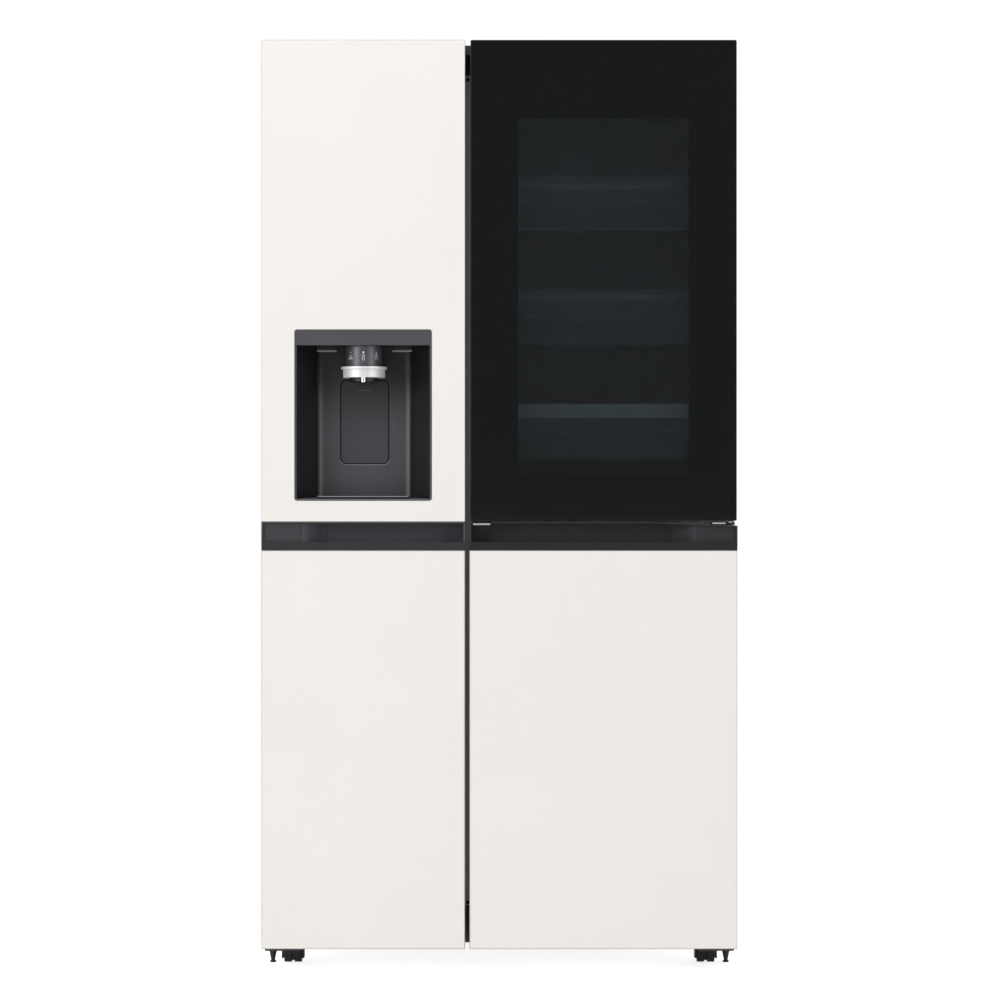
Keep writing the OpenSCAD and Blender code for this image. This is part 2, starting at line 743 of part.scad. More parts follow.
// Bins that hang between the two sides of the dyke
module bins(x, heights)
    for (z = heights)
        tub(x, [back_of(door_t), back_of(door_t + bin_reach)], [z, z + bin_h], bin_wall);

// The finger pocket of a handle band, open to the front above its lip
function pocket_outline() =
    let (back = back_of(handle_depth - handle_wall), top = handle_z[1] - handle_wall,
        bottom = handle_z[0] + handle_wall, lip = back_of(handle_lip_t),
        lip_top = handle_z[0] + handle_lip_h, r = 8)
    concat([[front_y - over, top], [front_y - over, lip_top], [lip - 1, lip_top], [lip, lip_top - 1]],
        arc(lip + r, bottom + r, r, 180, 5), arc(back - r, bottom + r, r, 270, 5),
        arc(back - 5, top - 5, 5, 0, 4));

// The pocket's outline from above; it ramps up to the shallow part at the hinge end
module pocket_plan(hinge_x, free_x) {
    way = free_x > hinge_x ? 1 : -1;
    start = hinge_x + way * handle_end;
    deep = handle_depth - handle_wall + over;
    free = free_x - way * handle_wall;
    translate([0, 0, handle_z[0]])
        linear_extrude(handle_h)
            polygon(concat([[free, front_y - over], [start, front_y - over]],
                [for (i = [0:8]) [start + way * handle_ramp * i / 8,
                    back_of(handle_sink + (deep - handle_sink) * (1 - cos(180 * i / 8)) / 2)]],
                [[free, back_of(deep)]]));
}
module band_pocket(hinge_x, free_x) {
    x = [min(hinge_x, free_x), max(hinge_x, free_x)];
    intersection() {
        run_x(x, pocket_outline());
        pocket_plan(hinge_x, free_x);
    }
    span(grow(x, -handle_wall), [front_y - over, back_of(handle_sink)],
        [handle_z[0] + handle_lip_h, handle_z[1] - handle_wall]);
}

// ---- Freezer door ----

module dispenser_outline(g)
    polygon(rounded(grow([dispenser_x, dispenser_x], dispenser_w / 2 + g), grow(dispenser_z, g), 5 + g));

module freezer_upper_panel() color(cream)
    difference() {
        skin(freezer_x, [handle_z[1], height], top_lip_t);
        run_y([front_y - over, front_y + skin_t + over]) dispenser_outline(0);
    }
module freezer_lower_panel() color(cream) skin(freezer_x, [door_bottom, handle_z[0]], top_lip_t);
module freezer_handle() color(dark_grey)
    difference() {
        span(freezer_x, [front_y, back_of(handle_depth)], handle_z);
        band_pocket(freezer_x[0], freezer_x[1]);
    }

module freezer_door_core() color(cream)
    difference() {
        door_body(freezer_x);
        handle_room(freezer_x);
        pin_bores(freezer_pin);
        run_y([front_y, back_of(room_depth + housing_wall)]) dispenser_outline(0);
        span(grow([dispenser_x, dispenser_x], shaft_w), [back_of(10), back_of(door_t)],
            [dispenser_z[1] - over, shaft_top]);
    }

module freezer_door_liner() color(liner_white) {
    x = grow([dispenser_x, dispenser_x], shaft_w - 4);
    z = [dispenser_z[1] + 16, shaft_top - 6];
    difference() {
        span(grow(freezer_x, -skin_t), liner_y, [door_bottom, door_top]);
        span(x, grow(liner_y, over), z);
    }
    dyke(freezer_dyke_x, freezer_bin_x);
    // the throat that leads ice from the bucket to the shaft
    difference() {
        span(grow(x, 4), [liner_y[1], liner_y[1] + 40], [z[0] - 4, bucket_z[0]]);
        span(x, [liner_y[1] - over, liner_y[1] + 36], [z[0], bucket_z[0] + over]);
    }
}

module freezer_door_gasket() color(rubber_grey) door_gasket(freezer_in_x);

// The frame and recess of the dispenser, with a pocket for the lever and lugs for the flap
module recess_space() {
    mouth = dispenser_w / 2 - 4;
    back = back_of(recess_depth);
    intersection() {
        translate([dispenser_x, 0, dispenser_z[0]])
            linear_extrude(dispenser_h)
                polygon([[-mouth, front_y - over], [mouth, front_y - over], [mouth, front_y + 4],
                    [recess_back_w / 2, back], [-recess_back_w / 2, back], [-mouth, front_y + 4]]);
        run_x(freezer_x, [[front_y - over, recess_z[0]], [front_y, recess_z[0]],
            [back, recess_z[0] + floor_rise], [back, recess_z[1]], [front_y - over, recess_z[1]]]);
    }
}
module dispenser_housing() color(dark_grey) {
    difference() {
        run_y([front_y, back_of(room_depth + housing_wall)]) dispenser_outline(0);
        recess_space();
        run_y([lever_y - over, back_of(room_depth)])
            polygon(rounded(grow([dispenser_x, dispenser_x], lever_w / 2 + lever_gap),
                grow(lever_z, lever_gap), lever_r + lever_gap));
        rod_x(grow([dispenser_x, dispenser_x], lever_w / 2 + 6), lever_pin[0], lever_pin[1],
            lever_pin_r + fit);
        post(dispenser_x, chute_y, [recess_z[1] - over, dispenser_z[1] + over], chute_d / 2);
        span(grow([dispenser_x, dispenser_x], shaft_w), [back_of(10), back_of(room_depth) + over],
            [dispenser_z[1] - 4.5, dispenser_z[1] + over]);
    }
    for (side = [-1, 1])
        difference() {
            span(grow([1, 1] * (dispenser_x + side * 20), 2), grow([1, 1] * flap_pin[0], 4),
                [dispenser_z[1] - 5.5, flap_pin[1] + 4]);
            rod_x(grow([dispenser_x, dispenser_x], 30), flap_pin[0], flap_pin[1], 1.5 + fit);
        }
}

// The head under the recess ceiling, with the ice chute through it
module behind_recess() span(freezer_x, [back_of(recess_depth), back_of(door_t)], dispenser_z);

module dispenser_head() color([0.5, 0.5, 0.52])
    difference() {
        union() {
            post(dispenser_x, chute_y, [head_z, recess_z[1]], head_d / 2);
            post(dispenser_x, chute_y, [mouth_z, head_z + over], chute_d / 2 + 2);
        }
        post(dispenser_x, chute_y, [mouth_z - over, recess_z[1] + over], chute_d / 2);
        behind_recess();
    }

spout_y = chute_y - ring_d / 2 + 6.5;
module dispenser_ring() color(steel)
    difference() {
        union() {
            post(dispenser_x, chute_y, [head_z - flange_t2, head_z], flange_d / 2);
            post(dispenser_x, chute_y, [ring_z, head_z - flange_t2 + 1], ring_d / 2);
        }
        post(dispenser_x, chute_y, [ring_z - over, head_z + over], chute_d / 2 + 2);
        post(dispenser_x, spout_y, [ring_z - over, ring_z + 8], 5);
        behind_recess();
    }
module water_spout() color(steel)
    difference() {
        post(dispenser_x, spout_y, [mouth_z - 2, ring_z + 8], 5);
        post(dispenser_x, spout_y, [mouth_z - 3, ring_z + 5], 3);
    }

// The pad that a glass presses, hung from a pin at its top
module dispenser_lever() color([0.22, 0.22, 0.23]) {
    run_y([lever_y, lever_y + lever_t])
        polygon(rounded(grow([dispenser_x, dispenser_x], lever_w / 2), lever_z, lever_r));
    span(grow([dispenser_x, dispenser_x], lever_w / 2 - 12), [lever_y + lever_t - 0.5, lever_pin[0]],
        grow([1, 1] * lever_pin[1], 2));
    rod_x(grow([dispenser_x, dispenser_x], lever_w / 2 + 5.5), lever_pin[0], lever_pin[1], lever_pin_r);
}

// A flap on top of the chute, hinged behind it
module chute_flap() color(near_black) {
    z = [dispenser_z[1] - 3.5, dispenser_z[1] - 0.5];
    post(dispenser_x, chute_y, z, chute_d / 2 + 2);
    span(grow([dispenser_x, dispenser_x], 14), [chute_y + 14, flap_pin[0] + 2], z);
    span(grow([dispenser_x, dispenser_x], 14), [flap_pin[0] - 2, flap_pin[0] + 2], [z[0], flap_pin[1]]);
    rod_x(grow([dispenser_x, dispenser_x], 17.5), flap_pin[0], flap_pin[1], 2.5);
    rod_x(grow([dispenser_x, dispenser_x], 21), flap_pin[0], flap_pin[1], 1.5);
}

// A tray with a slotted top that slides out at the foot of the recess
tray_half = recess_back_w / 2 - 1.5;
tray_top = recess_z[0] + floor_rise + 0.6;
function floor_at(y) = recess_z[0] + floor_rise * (y - front_y) / recess_depth;
module drip_tray() color([0.4, 0.4, 0.42]) {
    y = [back_of(6), back_of(recess_depth - 4)];
    difference() {
        run_x(grow([dispenser_x, dispenser_x], tray_half), [[y[0], floor_at(y[0]) + fit],
            [y[1], floor_at(y[1]) + fit], [y[1], tray_top], [y[0], tray_top]]);
        for (i = [-6:6])
            span(grow([1, 1] * (dispenser_x + i * 12), 3), grow(y, -10),
                [recess_z[0] - over, recess_z[0] + 7]);
    }
}

// The mould that freezes the ice, with its drive box at one end
module ice_maker() color(liner_white) {
    x = grow(bucket_x, -4);
    z = [bucket_z[1] + 40, bucket_z[1] + 90];
    y = [back_of(door_t), back_of(door_t + bin_reach - 22)];
    difference() {
        span(x, y, z);
        for (i = [0:5])
            span([x[0] + 4 + i * 19, x[0] + 20 + i * 19], grow(y, -4), [z[0] + 14, z[1] + over]);
    }
}

module ice_bucket() color(clear_blue)
    difference() {
        tub(bucket_x, [back_of(door_t), back_of(door_t + bin_reach)], bucket_z, bin_wall);
        span(grow([dispenser_x, dispenser_x], shaft_w - 8), [liner_y[1] + 6, liner_y[1] + 32],
            [bucket_z[0] - over, bucket_z[0] + bin_wall + over]);
        rod_x(grow(bucket_x, over), auger_y, auger_z, axle_r + fit);
    }

// A shaft with paddles that pushes ice to the outlet
module ice_auger() color(steel) {
    rod_x(grow(bucket_x, 1), auger_y, auger_z, axle_r);
    rod_x(grow(bucket_x, -bin_wall - 1), auger_y, auger_z, 8);
    for (i = [-3:3])
        translate([dispenser_x + i * 20, auger_y, auger_z])
            rotate([i * 30, 0, 0])
                translate([-2, -6, -32])
                    cube([4, 12, 64]);
}

module freezer_door_bins() color(clear_blue)
    bins(freezer_bin_x, [for (i = [0:3]) dyke_z[0] + dyke_rim + 12 + i * 225]);

// ---- Fridge door ----

opening_z = [handle_top + 34, dyke_z[1] - dyke_rim];
module view_opening(y) run_y(y) polygon(rounded(fridge_bin_x, opening_z, 8));

module fridge_lower_panel() color(cream) skin(fridge_x, [door_bottom, handle_z[0]], top_lip_t);

// Room for the release button and its stem
module button_room()
    span(grow(button_x, 0.8), [front_y - over, back_of(61.5)], [button_z[0] - 0.8, handle_top + over]);

// Room for the plate of the view door's lower hinge
module view_plate_room(y)
    span(view_plate_x, y, [view_plate_z[0], handle_top + over]);

// The body under the handle band is full depth; above it there is a frame behind the view door
module fridge_door_core() color(cream)
    difference() {
        run_x(grow(fridge_x, -skin_t), [
            [back_of(core_v[0]), door_bottom + skin_t], [back_of(top_lip_t), door_bottom + skin_t],
            [back_of(top_lip_t), door_bottom], [back_of(core_v[1]), door_bottom],
            [back_of(core_v[1]), door_top], [view_front, door_top],
            [view_front, handle_top], [back_of(core_v[0]), handle_top]]);
        handle_room(fridge_x);
        pin_bores(fridge_pin);
        view_opening([view_front - over, back_of(door_t)]);
        button_room();
        view_plate_room([front_y, view_front]);
        span(view_plate_x, [view_front - over, back_of(72)], view_plate_z);
    }

module fridge_door_liner() color(liner_white) {
    difference() {
        span(grow(fridge_x, -skin_t), liner_y, [door_bottom, door_top]);
        view_opening(grow(liner_y, over));
    }
    dyke(fridge_dyke_x, fridge_bin_x);
}

module fridge_door_gasket() color(rubber_grey) door_gasket(fridge_in_x);

// The band's top falls away towards the hinge, where it clears the view door's hinge plate
// The wedge off the top of the right band, or the same wedge that much lower
module band_wedge(down = 0)
    run_y([front_y - over, back_of(handle_depth) + over])
        polygon([[wedge_x, handle_top - down], [fridge_x[1] + over, handle_top - wedge - down],
            [fridge_x[1] + over, handle_top + over], [wedge_x, handle_top + over]]);

module fridge_handle() color(dark_grey)
    difference() {
        span(fridge_x, [front_y, back_of(handle_depth)], handle_z);
        difference() {
            band_pocket(fridge_x[1], fridge_x[0]);
            band_wedge(handle_wall);
        }
        band_wedge();
        button_room();
        view_plate_room([front_y - over, view_front]);
    }

// A plate under and over the view door, each with a pin
module view_hinges() color(steel) {
    pin_len = 26;
    top_z = [door_top + 2, door_top + 6];
    seat_x = [fridge_x[1] - 76, fridge_x[1] - 52];
    span(view_plate_x, [view_pin[1] - 10, back_of(72)], view_plate_z);
    post(view_pin[0], view_pin[1], [view_plate_z[0], view_bottom + pin_len], view_pin_r);
    span([seat_x[0], view_pin[0]], [view_pin[1] - 8, view_pin[1] + 8], top_z);
    post(view_pin[0], view_pin[1], top_z, 8);
    post(view_pin[0], view_pin[1], [door_top - pin_len, top_z[1]], view_pin_r);
    span(seat_x, [view_pin[1] - 8, back_of(door_t - 5)], top_z);
    span(seat_x, [view_front + 4, back_of(door_t - 5)], [door_top, top_z[1]]);
}

module release_button() color(steel) {
    span(button_x, [front_y + 1, back_of(60)], button_z);
    span(button_x, [front_y + 1, front_y + 3], [button_z[0] - 0.5, button_z[1]]);
}

module fridge_door_bins() color(clear_blue) {
    basket_z = [for (i = [0:2]) opening_z[0] + 84.5 + i * 220];
    bins(fridge_bin_x, [for (i = [0:2]) dyke_z[0] + dyke_rim + 12 + i * 225]);
    for (z = basket_z)
        tub(fridge_bin_x, [view_front + 6, back_of(door_t + bin_reach)], [z, z + bin_h], bin_wall);
}

// ---- View door ----

module window_outline(g)
    polygon(rounded(grow([view_mid, view_mid], window_w / 2 + g), grow(window_z, g), window_r + g));

module view_glass() color(near_black)
    run_y([front_y, front_y + view_glass_t]) polygon(rounded(view_x, [view_bottom, height], 3));

pane_y = [back_of(view_t - 7), back_of(view_t - 3)];
module inner_glass() color(near_black) run_y(pane_y) window_outline(10);

module view_door_frame() color(near_black)
    difference() {
        run_x(grow(view_x, -1), [
            [front_y + view_glass_t, view_bottom], [back_of(view_t), view_bottom],
            [back_of(view_t), door_top], [back_of(view_lip_t), door_top],
            [back_of(view_lip_t), height - 1], [front_y + view_glass_t, height - 1]]);
        run_y([front_y, back_of(view_t) + over]) window_outline(0);
        run_y([pane_y[0], back_of(view_t) + over]) window_outline(10);
        post(view_pin[0], view_pin[1], [view_bottom - over, view_bottom + 27], view_pin_r + fit);
        post(view_pin[0], view_pin[1], [door_top - 27, door_top + over], view_pin_r + fit);
    }

module view_door_gasket() color(rubber_grey) {
    x = [view_x[0] + 10, view_pin[0] - 4];
    z = [view_bottom + 12, door_top - 10];
    run_y([back_of(view_t), view_front - fit])
        difference() {
            polygon(rounded(x, z, 10));
            polygon(rounded(grow(x, -12), grow(z, -12), 4));
        }
}

outer_case();
rear_panel();
insulation_foam();
freezer_liner();
fridge_liner();
centre_mullion();
kick_plate();
top_cover();
top_hinges();
bottom_hinges();
freezer_shelves();
fridge_shelves();
freezer_air_duct();
fridge_air_duct();
evaporator();
compressor();
condenser();
machine_tray();
drain_pan();
rear_cover();
power_inlet();
levelling_foot_left();
levelling_foot_right();
front_rollers();
rear_rollers();
condenser_fan();
evaporator_fan();
upper_crisper();
lower_crisper();
upper_freezer_drawer();
lower_freezer_drawer();
freezer_upper_panel();
freezer_lower_panel();
freezer_door_core();
freezer_door_liner();
freezer_door_gasket();
freezer_handle();
dispenser_housing();
dispenser_head();
dispenser_ring();
water_spout();
dispenser_lever();
chute_flap();
drip_tray();
ice_maker();
ice_bucket();
ice_auger();
freezer_door_bins();
fridge_lower_panel();
fridge_door_core();
fridge_door_liner();
fridge_door_gasket();
fridge_handle();
view_hinges();
release_button();
fridge_door_bins();
view_glass();
inner_glass();
view_door_frame();
view_door_gasket();
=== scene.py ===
import json
import math

import bmesh
import bpy
from mathutils import Matrix, Vector

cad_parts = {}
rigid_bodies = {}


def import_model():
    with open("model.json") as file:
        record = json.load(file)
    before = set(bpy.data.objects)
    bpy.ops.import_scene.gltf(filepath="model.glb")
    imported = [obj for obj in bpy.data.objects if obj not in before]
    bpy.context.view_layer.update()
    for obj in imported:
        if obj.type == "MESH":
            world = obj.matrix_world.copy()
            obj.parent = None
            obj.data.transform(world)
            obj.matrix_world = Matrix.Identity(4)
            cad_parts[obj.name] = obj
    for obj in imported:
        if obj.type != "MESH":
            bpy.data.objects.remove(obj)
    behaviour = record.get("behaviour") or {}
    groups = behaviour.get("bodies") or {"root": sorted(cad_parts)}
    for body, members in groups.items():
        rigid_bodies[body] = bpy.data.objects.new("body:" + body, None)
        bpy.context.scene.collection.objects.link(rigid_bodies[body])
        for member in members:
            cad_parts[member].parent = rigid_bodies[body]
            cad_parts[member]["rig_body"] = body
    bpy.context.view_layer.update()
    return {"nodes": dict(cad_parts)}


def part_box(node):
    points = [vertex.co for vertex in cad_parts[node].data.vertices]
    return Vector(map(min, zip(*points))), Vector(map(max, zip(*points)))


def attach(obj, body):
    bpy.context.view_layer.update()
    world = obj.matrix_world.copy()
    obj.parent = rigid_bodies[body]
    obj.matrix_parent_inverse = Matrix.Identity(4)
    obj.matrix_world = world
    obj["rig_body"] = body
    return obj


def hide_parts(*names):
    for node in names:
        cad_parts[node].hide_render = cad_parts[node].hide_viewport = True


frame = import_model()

MM = 0.001


BODY_OF = {node: obj["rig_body"] for node, obj in frame["nodes"].items()}

# ---- Camera ----

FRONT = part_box("freezer_lower_panel")[0].y
EYE_BACK = 6.5
EYE_HEIGHT = 0.908
SEEN_WIDTH = 1.9168
EYE_ACROSS = 0.00115

camera = bpy.data.objects.new("camera", bpy.data.cameras.new("camera"))
bpy.context.scene.collection.objects.link(camera)
bpy.context.scene.camera = camera
camera.location = (EYE_ACROSS, FRONT - EYE_BACK, EYE_HEIGHT)
camera.rotation_euler = (math.radians(90), 0, 0)
camera.data.sensor_width = 36
camera.data.lens = camera.data.sensor_width * EYE_BACK / SEEN_WIDTH
bpy.context.scene.view_settings.view_transform = "Standard"

# ---- Shared effects ----


def shade(red, green, blue):
    """A display colour as the linear colour that shaders take."""
    values = [c / 255 for c in (red, green, blue)]
    return [c / 12.92 if c < 0.04045 else ((c + 0.055) / 1.055) ** 2.4 for c in values] + [1]


def effect(name, inputs, outputs):
    """A new node group with named sockets, and its two end nodes."""
    tree = bpy.data.node_groups.new(name, "ShaderNodeTree")
    for way, sockets in (("INPUT", inputs), ("OUTPUT", outputs)):
        for label, kind in sockets:
            tree.interface.new_socket(name=label, in_out=way, socket_type="NodeSocket" + kind)
    return tree, tree.nodes.new("NodeGroupInput"), tree.nodes.new("NodeGroupOutput")


def spread(tree, value, low, high):
    """A 0 to 1 value taken from its middle band and spread from low to high."""
    node = tree.nodes.new("ShaderNodeMapRange")
    node.inputs["From Min"].default_value = 0.3
    node.inputs["From Max"].default_value = 0.7
    tree.links.new(value, node.inputs["Value"])
    for label, end in (("To Min", low), ("To Max", high)):
        if isinstance(end, (int, float)):
            node.inputs[label].default_value = end
        else:
            tree.links.new(end, node.inputs[label])
    return node.outputs["Result"]


def noise(tree, vector, scale, detail):
    node = tree.nodes.new("ShaderNodeTexNoise")
    node.inputs["Detail"].default_value = detail
    tree.links.new(vector, node.inputs["Vector"])
    if isinstance(scale, (int, float)):
        node.inputs["Scale"].default_value = scale
    else:
        tree.links.new(scale, node.inputs["Scale"])
    return node.outputs["Fac"]


def colour_mix(tree, factor, first, second):
    node = tree.nodes.new("ShaderNodeMix")
    node.data_type = "RGBA"
    tree.links.new(factor, node.inputs["Factor"])
    tree.links.new(first, node.inputs[6])
    tree.links.new(second, node.inputs[7])
    return node.outputs[2]


def build_grain():
    """Fine grain over a slow mottle: two tones, a roughness band and a height."""
    tree, start, end = effect("grain_and_mottle", [
        ("Vector", "Vector"), ("Grain", "Float"), ("Mottle", "Float"), ("Tone A", "Color"),
        ("Tone B", "Color"), ("Rough Low", "Float"), ("Rough High", "Float")],
        [("Color", "Color"), ("Roughness", "Float"), ("Height", "Float")])
    spot = start.outputs
    fine = noise(tree, spot["Vector"], spot["Grain"], 3)
    slow = noise(tree, spot["Vector"], spot["Mottle"], 4)
    tree.links.new(colour_mix(tree, spread(tree, slow, 0, 1), spot["Tone A"], spot["Tone B"]),
                   end.inputs["Color"])
    both = tree.nodes.new("ShaderNodeMath")
    both.operation = "MULTIPLY_ADD"
    both.inputs[1].default_value = 0.4
    tree.links.new(fine, both.inputs[0])
    part = tree.nodes.new("ShaderNodeMath")
    part.operation = "MULTIPLY"
    part.inputs[1].default_value = 0.6
    tree.links.new(slow, part.inputs[0])
    tree.links.new(part.outputs[0], both.inputs[2])
    tree.links.new(spread(tree, both.outputs[0], spot["Rough Low"], spot["Rough High"]),
                   end.inputs["Roughness"])
    tree.links.new(fine, end.inputs["Height"])
    return tree


def build_spangle():
    """The crystal facets of zinc-dipped sheet."""
    tree, start, end = effect("zinc_spangle", [
        ("Vector", "Vector"), ("Scale", "Float"), ("Tone A", "Color"), ("Tone B", "Color")],
        [("Color", "Color"), ("Roughness", "Float"), ("Height", "Float")])
    cells = tree.nodes.new("ShaderNodeTexVoronoi")
    tree.links.new(start.outputs["Vector"], cells.inputs["Vector"])
    tree.links.new(start.outputs["Scale"], cells.inputs["Scale"])
    split = tree.nodes.new("ShaderNodeSeparateColor")
    tree.links.new(cells.outputs["Color"], split.inputs["Color"])
    tree.links.new(colour_mix(tree, split.outputs["Red"], start.outputs["Tone A"],
                              start.outputs["Tone B"]), end.inputs["Color"])
    tree.links.new(spread(tree, split.outputs["Green"], 0.3, 0.5), end.inputs["Roughness"])
    tree.links.new(split.outputs["Blue"], end.inputs["Height"])
    return tree


def build_painted_shade():
    """Painted shade: a tone that darkens smoothly with height, standing in for the shade under an
    overhang.
    """
    tree, start, end = effect("painted_shade_with_height", [
        ("Vector", "Vector"), ("Color", "Color"), ("Low", "Float"), ("High", "Float"),
        ("Keep", "Float")], [("Color", "Color")])
    split = tree.nodes.new("ShaderNodeSeparateXYZ")
    tree.links.new(start.outputs["Vector"], split.inputs["Vector"])
    band = tree.nodes.new("ShaderNodeMapRange")
    band.interpolation_type = "SMOOTHSTEP"
    tree.links.new(split.outputs["Z"], band.inputs["Value"])
    tree.links.new(start.outputs["Low"], band.inputs["From Min"])
    tree.links.new(start.outputs["High"], band.inputs["From Max"])
    band.inputs["To Min"].default_value = 1
    tree.links.new(start.outputs["Keep"], band.inputs["To Max"])
    scale = tree.nodes.new("ShaderNodeVectorMath")
    scale.operation = "SCALE"
    tree.links.new(start.outputs["Color"], scale.inputs["Vector"])
    tree.links.new(band.outputs["Result"], scale.inputs["Scale"])
    tree.links.new(scale.outputs["Vector"], end.inputs["Color"])
    return tree


PAINTED_SHADE = build_painted_shade()


def paint_shade_by_height(made, low, high, keep_share):
    """Paints shade on a finish: darkens it from one height to another, to a share of its tone."""
    tree = made.node_tree
    shader = tree.nodes["Principled BSDF"]
    colour = shader.inputs["Base Color"].links[0].from_socket
    step = tree.nodes.new("ShaderNodeGroup")
    step.node_tree = PAINTED_SHADE
    place = next(n for n in tree.nodes if n.bl_idname == "ShaderNodeTexCoord")
    tree.links.new(place.outputs["Object"], step.inputs["Vector"])
    tree.links.new(colour, step.inputs["Color"])
    for label, value in (("Low", low), ("High", high), ("Keep", keep_share)):
        step.inputs[label].default_value = value
    tree.links.new(step.outputs["Color"], shader.inputs["Base Color"])


GRAIN = build_grain()
SPANGLE = build_spangle()

# ---- Finishes ----

SOCKETS = {"metal": "Metallic", "coat": "Coat Weight", "coat_rough": "Coat Roughness",
           "ior": "IOR", "clear": "Transmission Weight", "specular": "Specular IOR Level",
           "alpha": "Alpha", "glow": "Emission Strength", "glow_tint": "Emission Color",
           "subsurface": "Subsurface Weight"}


def material(name, group, bump, stretch, sockets, values):
    """A Principled finish whose colour, roughness and relief come from a shared effect."""
    made = bpy.data.materials.new(name)
    made.use_nodes = True
    tree = made.node_tree
    shader = tree.nodes["Principled BSDF"]
    place = tree.nodes.new("ShaderNodeTexCoord")
    turn = tree.nodes.new("ShaderNodeMapping")
    turn.inputs["Scale"].default_value = stretch
    tree.links.new(place.outputs["Object"], turn.inputs["Vector"])
    surface = tree.nodes.new("ShaderNodeGroup")
    surface.node_tree = group
    tree.links.new(turn.outputs["Vector"], surface.inputs["Vector"])
    for label, value in values.items():
        surface.inputs[label].default_value = value
    tree.links.new(surface.outputs["Color"], shader.inputs["Base Color"])
    tree.links.new(surface.outputs["Roughness"], shader.inputs["Roughness"])
    relief = tree.nodes.new("ShaderNodeBump")
    relief.inputs["Strength"].default_value = bump
    relief.inputs["Distance"].default_value = 0.1 * MM
    tree.links.new(surface.outputs["Height"], relief.inputs["Height"])
    tree.links.new(relief.outputs["Normal"], shader.inputs["Normal"])
    for label, value in sockets.items():
        shader.inputs[SOCKETS[label]].default_value = value
    return made


def finish(name, tone, rough, grain=900, bump=0.2, vary=0.04, mottle=5, stretch=(1, 1, 1),
           **sockets):
    """A grained finish: its tone varies by the given share, its roughness over a pair."""
    low = [c * (1 - vary) for c in tone[:3]] + [1]
    high = [min(1, c * (1 + vary)) for c in tone[:3]] + [1]
    return material(name, GRAIN, bump, stretch, sockets, {
        "Grain": grain, "Mottle": mottle, "Tone A": low, "Tone B": high,
        "Rough Low": rough[0], "Rough High": rough[1]})


FINISH = {}


def keep(name, *rest, **more):
    FINISH[name] = finish(name, *rest, **more)


keep("cream_enamel", [0.80, 0.768, 0.735, 1], (0.34, 0.42), grain=420, bump=0.12, vary=0.008, coat=0.15)
keep("case_enamel", [0.78, 0.75, 0.715, 1], (0.4, 0.5), grain=700, bump=0.5, vary=0.012)
keep("door_edge_moulding", [0.76, 0.73, 0.70, 1], (0.42, 0.52), grain=1100, bump=0.25, vary=0.012)
# Lit and shaded copies of the handle bands' one grey: painted light in the finger pockets, painted shade
# on the lips, and the right band's copies darker throughout as painted shade.
keep("band_pocket_painted_light", shade(72, 71, 77), (0.6, 0.72), grain=1500, bump=0.4, vary=0.05, specular=0.3)
keep("band_lip_painted_shade", shade(42, 42, 44), (0.5, 0.6), grain=1500, bump=0.4, vary=0.05, specular=0.3)
keep("band_end", shade(57, 56, 60), (0.6, 0.72), grain=1500, bump=0.4, vary=0.05, specular=0.3)
keep("right_pocket_painted_light_and_shade", shade(49, 48, 53), (0.6, 0.72), grain=1500, bump=0.4, vary=0.05, specular=0.3)
keep("right_lip_painted_shade", shade(27, 27, 29), (0.5, 0.6), grain=1500, bump=0.4, vary=0.05, specular=0.3)
keep("right_end_painted_shade", shade(41, 40, 44), (0.6, 0.72), grain=1500, bump=0.4, vary=0.05, specular=0.3)
# Painted light: the mullion in the narrow door gap gets a near-white tone and a faint glow, far lighter
# than its grey, to light the shaded gap.
keep("mullion_painted_light", shade(215, 214, 208), (0.5, 0.6), grain=1200, bump=0.3, vary=0.03,
     glow=0.02, glow_tint=shade(235, 232, 225))
# Painted shade: a darker copy of the cream for the rounded front edges of the door skins.
keep("cream_edge_painted_shade", [0.42, 0.405, 0.385, 1], (0.4, 0.5), grain=420, bump=0.1, vary=0.01)
keep("trim_moulding", shade(64, 62, 60), (0.42, 0.54), grain=1400, bump=0.4, vary=0.05)
keep("strip_moulding", shade(71, 70, 75), (0.34, 0.42), grain=1600, bump=0.2, vary=0.03)
# Dark recess plastic; on the recess sides and ceiling its tone, far below the back wall's, is partly
# painted shade.
keep("recess_dark_and_painted_shade", shade(17, 16, 19), (0.34, 0.46), grain=1500, bump=0.3, vary=0.06)
keep("recess_back_moulding", shade(72, 71, 76), (0.4, 0.5), grain=1500, bump=0.3, vary=0.04)
keep("sill_moulding", shade(92, 92, 96), (0.34, 0.42), grain=1600, bump=0.2, vary=0.03)
keep("rim_moulding", shade(66, 66, 70), (0.34, 0.42), grain=1600, bump=0.2, vary=0.03)
keep("mark_grey", shade(190, 191, 196), (0.4, 0.5), vary=0.01)
# Pale grey for the recess lamp lenses, also put on the lever pocket's lower edge and the tray's front
# edge as a painted highlight.
keep("lens_grey_and_painted_highlight", shade(150, 150, 155), (0.3, 0.4), vary=0.01)
keep("lever_moulding", shade(62, 61, 66), (0.36, 0.46), grain=1500, bump=0.3, vary=0.04)
keep("head_satin", shade(88, 87, 92), (0.36, 0.44), grain=1800, bump=0.1, vary=0.03, metal=0.5)
keep("ring_satin", [0.74, 0.74, 0.75, 1], (0.42, 0.5), grain=1500, bump=0.04, vary=0.02, metal=0.35)
keep("black_moulding", shade(22, 22, 24), (0.34, 0.46), grain=1500, bump=0.35, vary=0.08)
keep("black_enamel", shade(18, 18, 19), (0.28, 0.38), grain=300, bump=0.3, vary=0.08, coat=0.3)
keep("border_black", [0.0016, 0.0026, 0.0036, 1], (0.05, 0.08), grain=300, bump=0.02, vary=0.05)
keep("tinted_glass", [0.41, 0.45, 0.48, 1], (0.0, 0.0), grain=300, bump=0.0, vary=0.02,
     clear=1.0, ior=1.45)
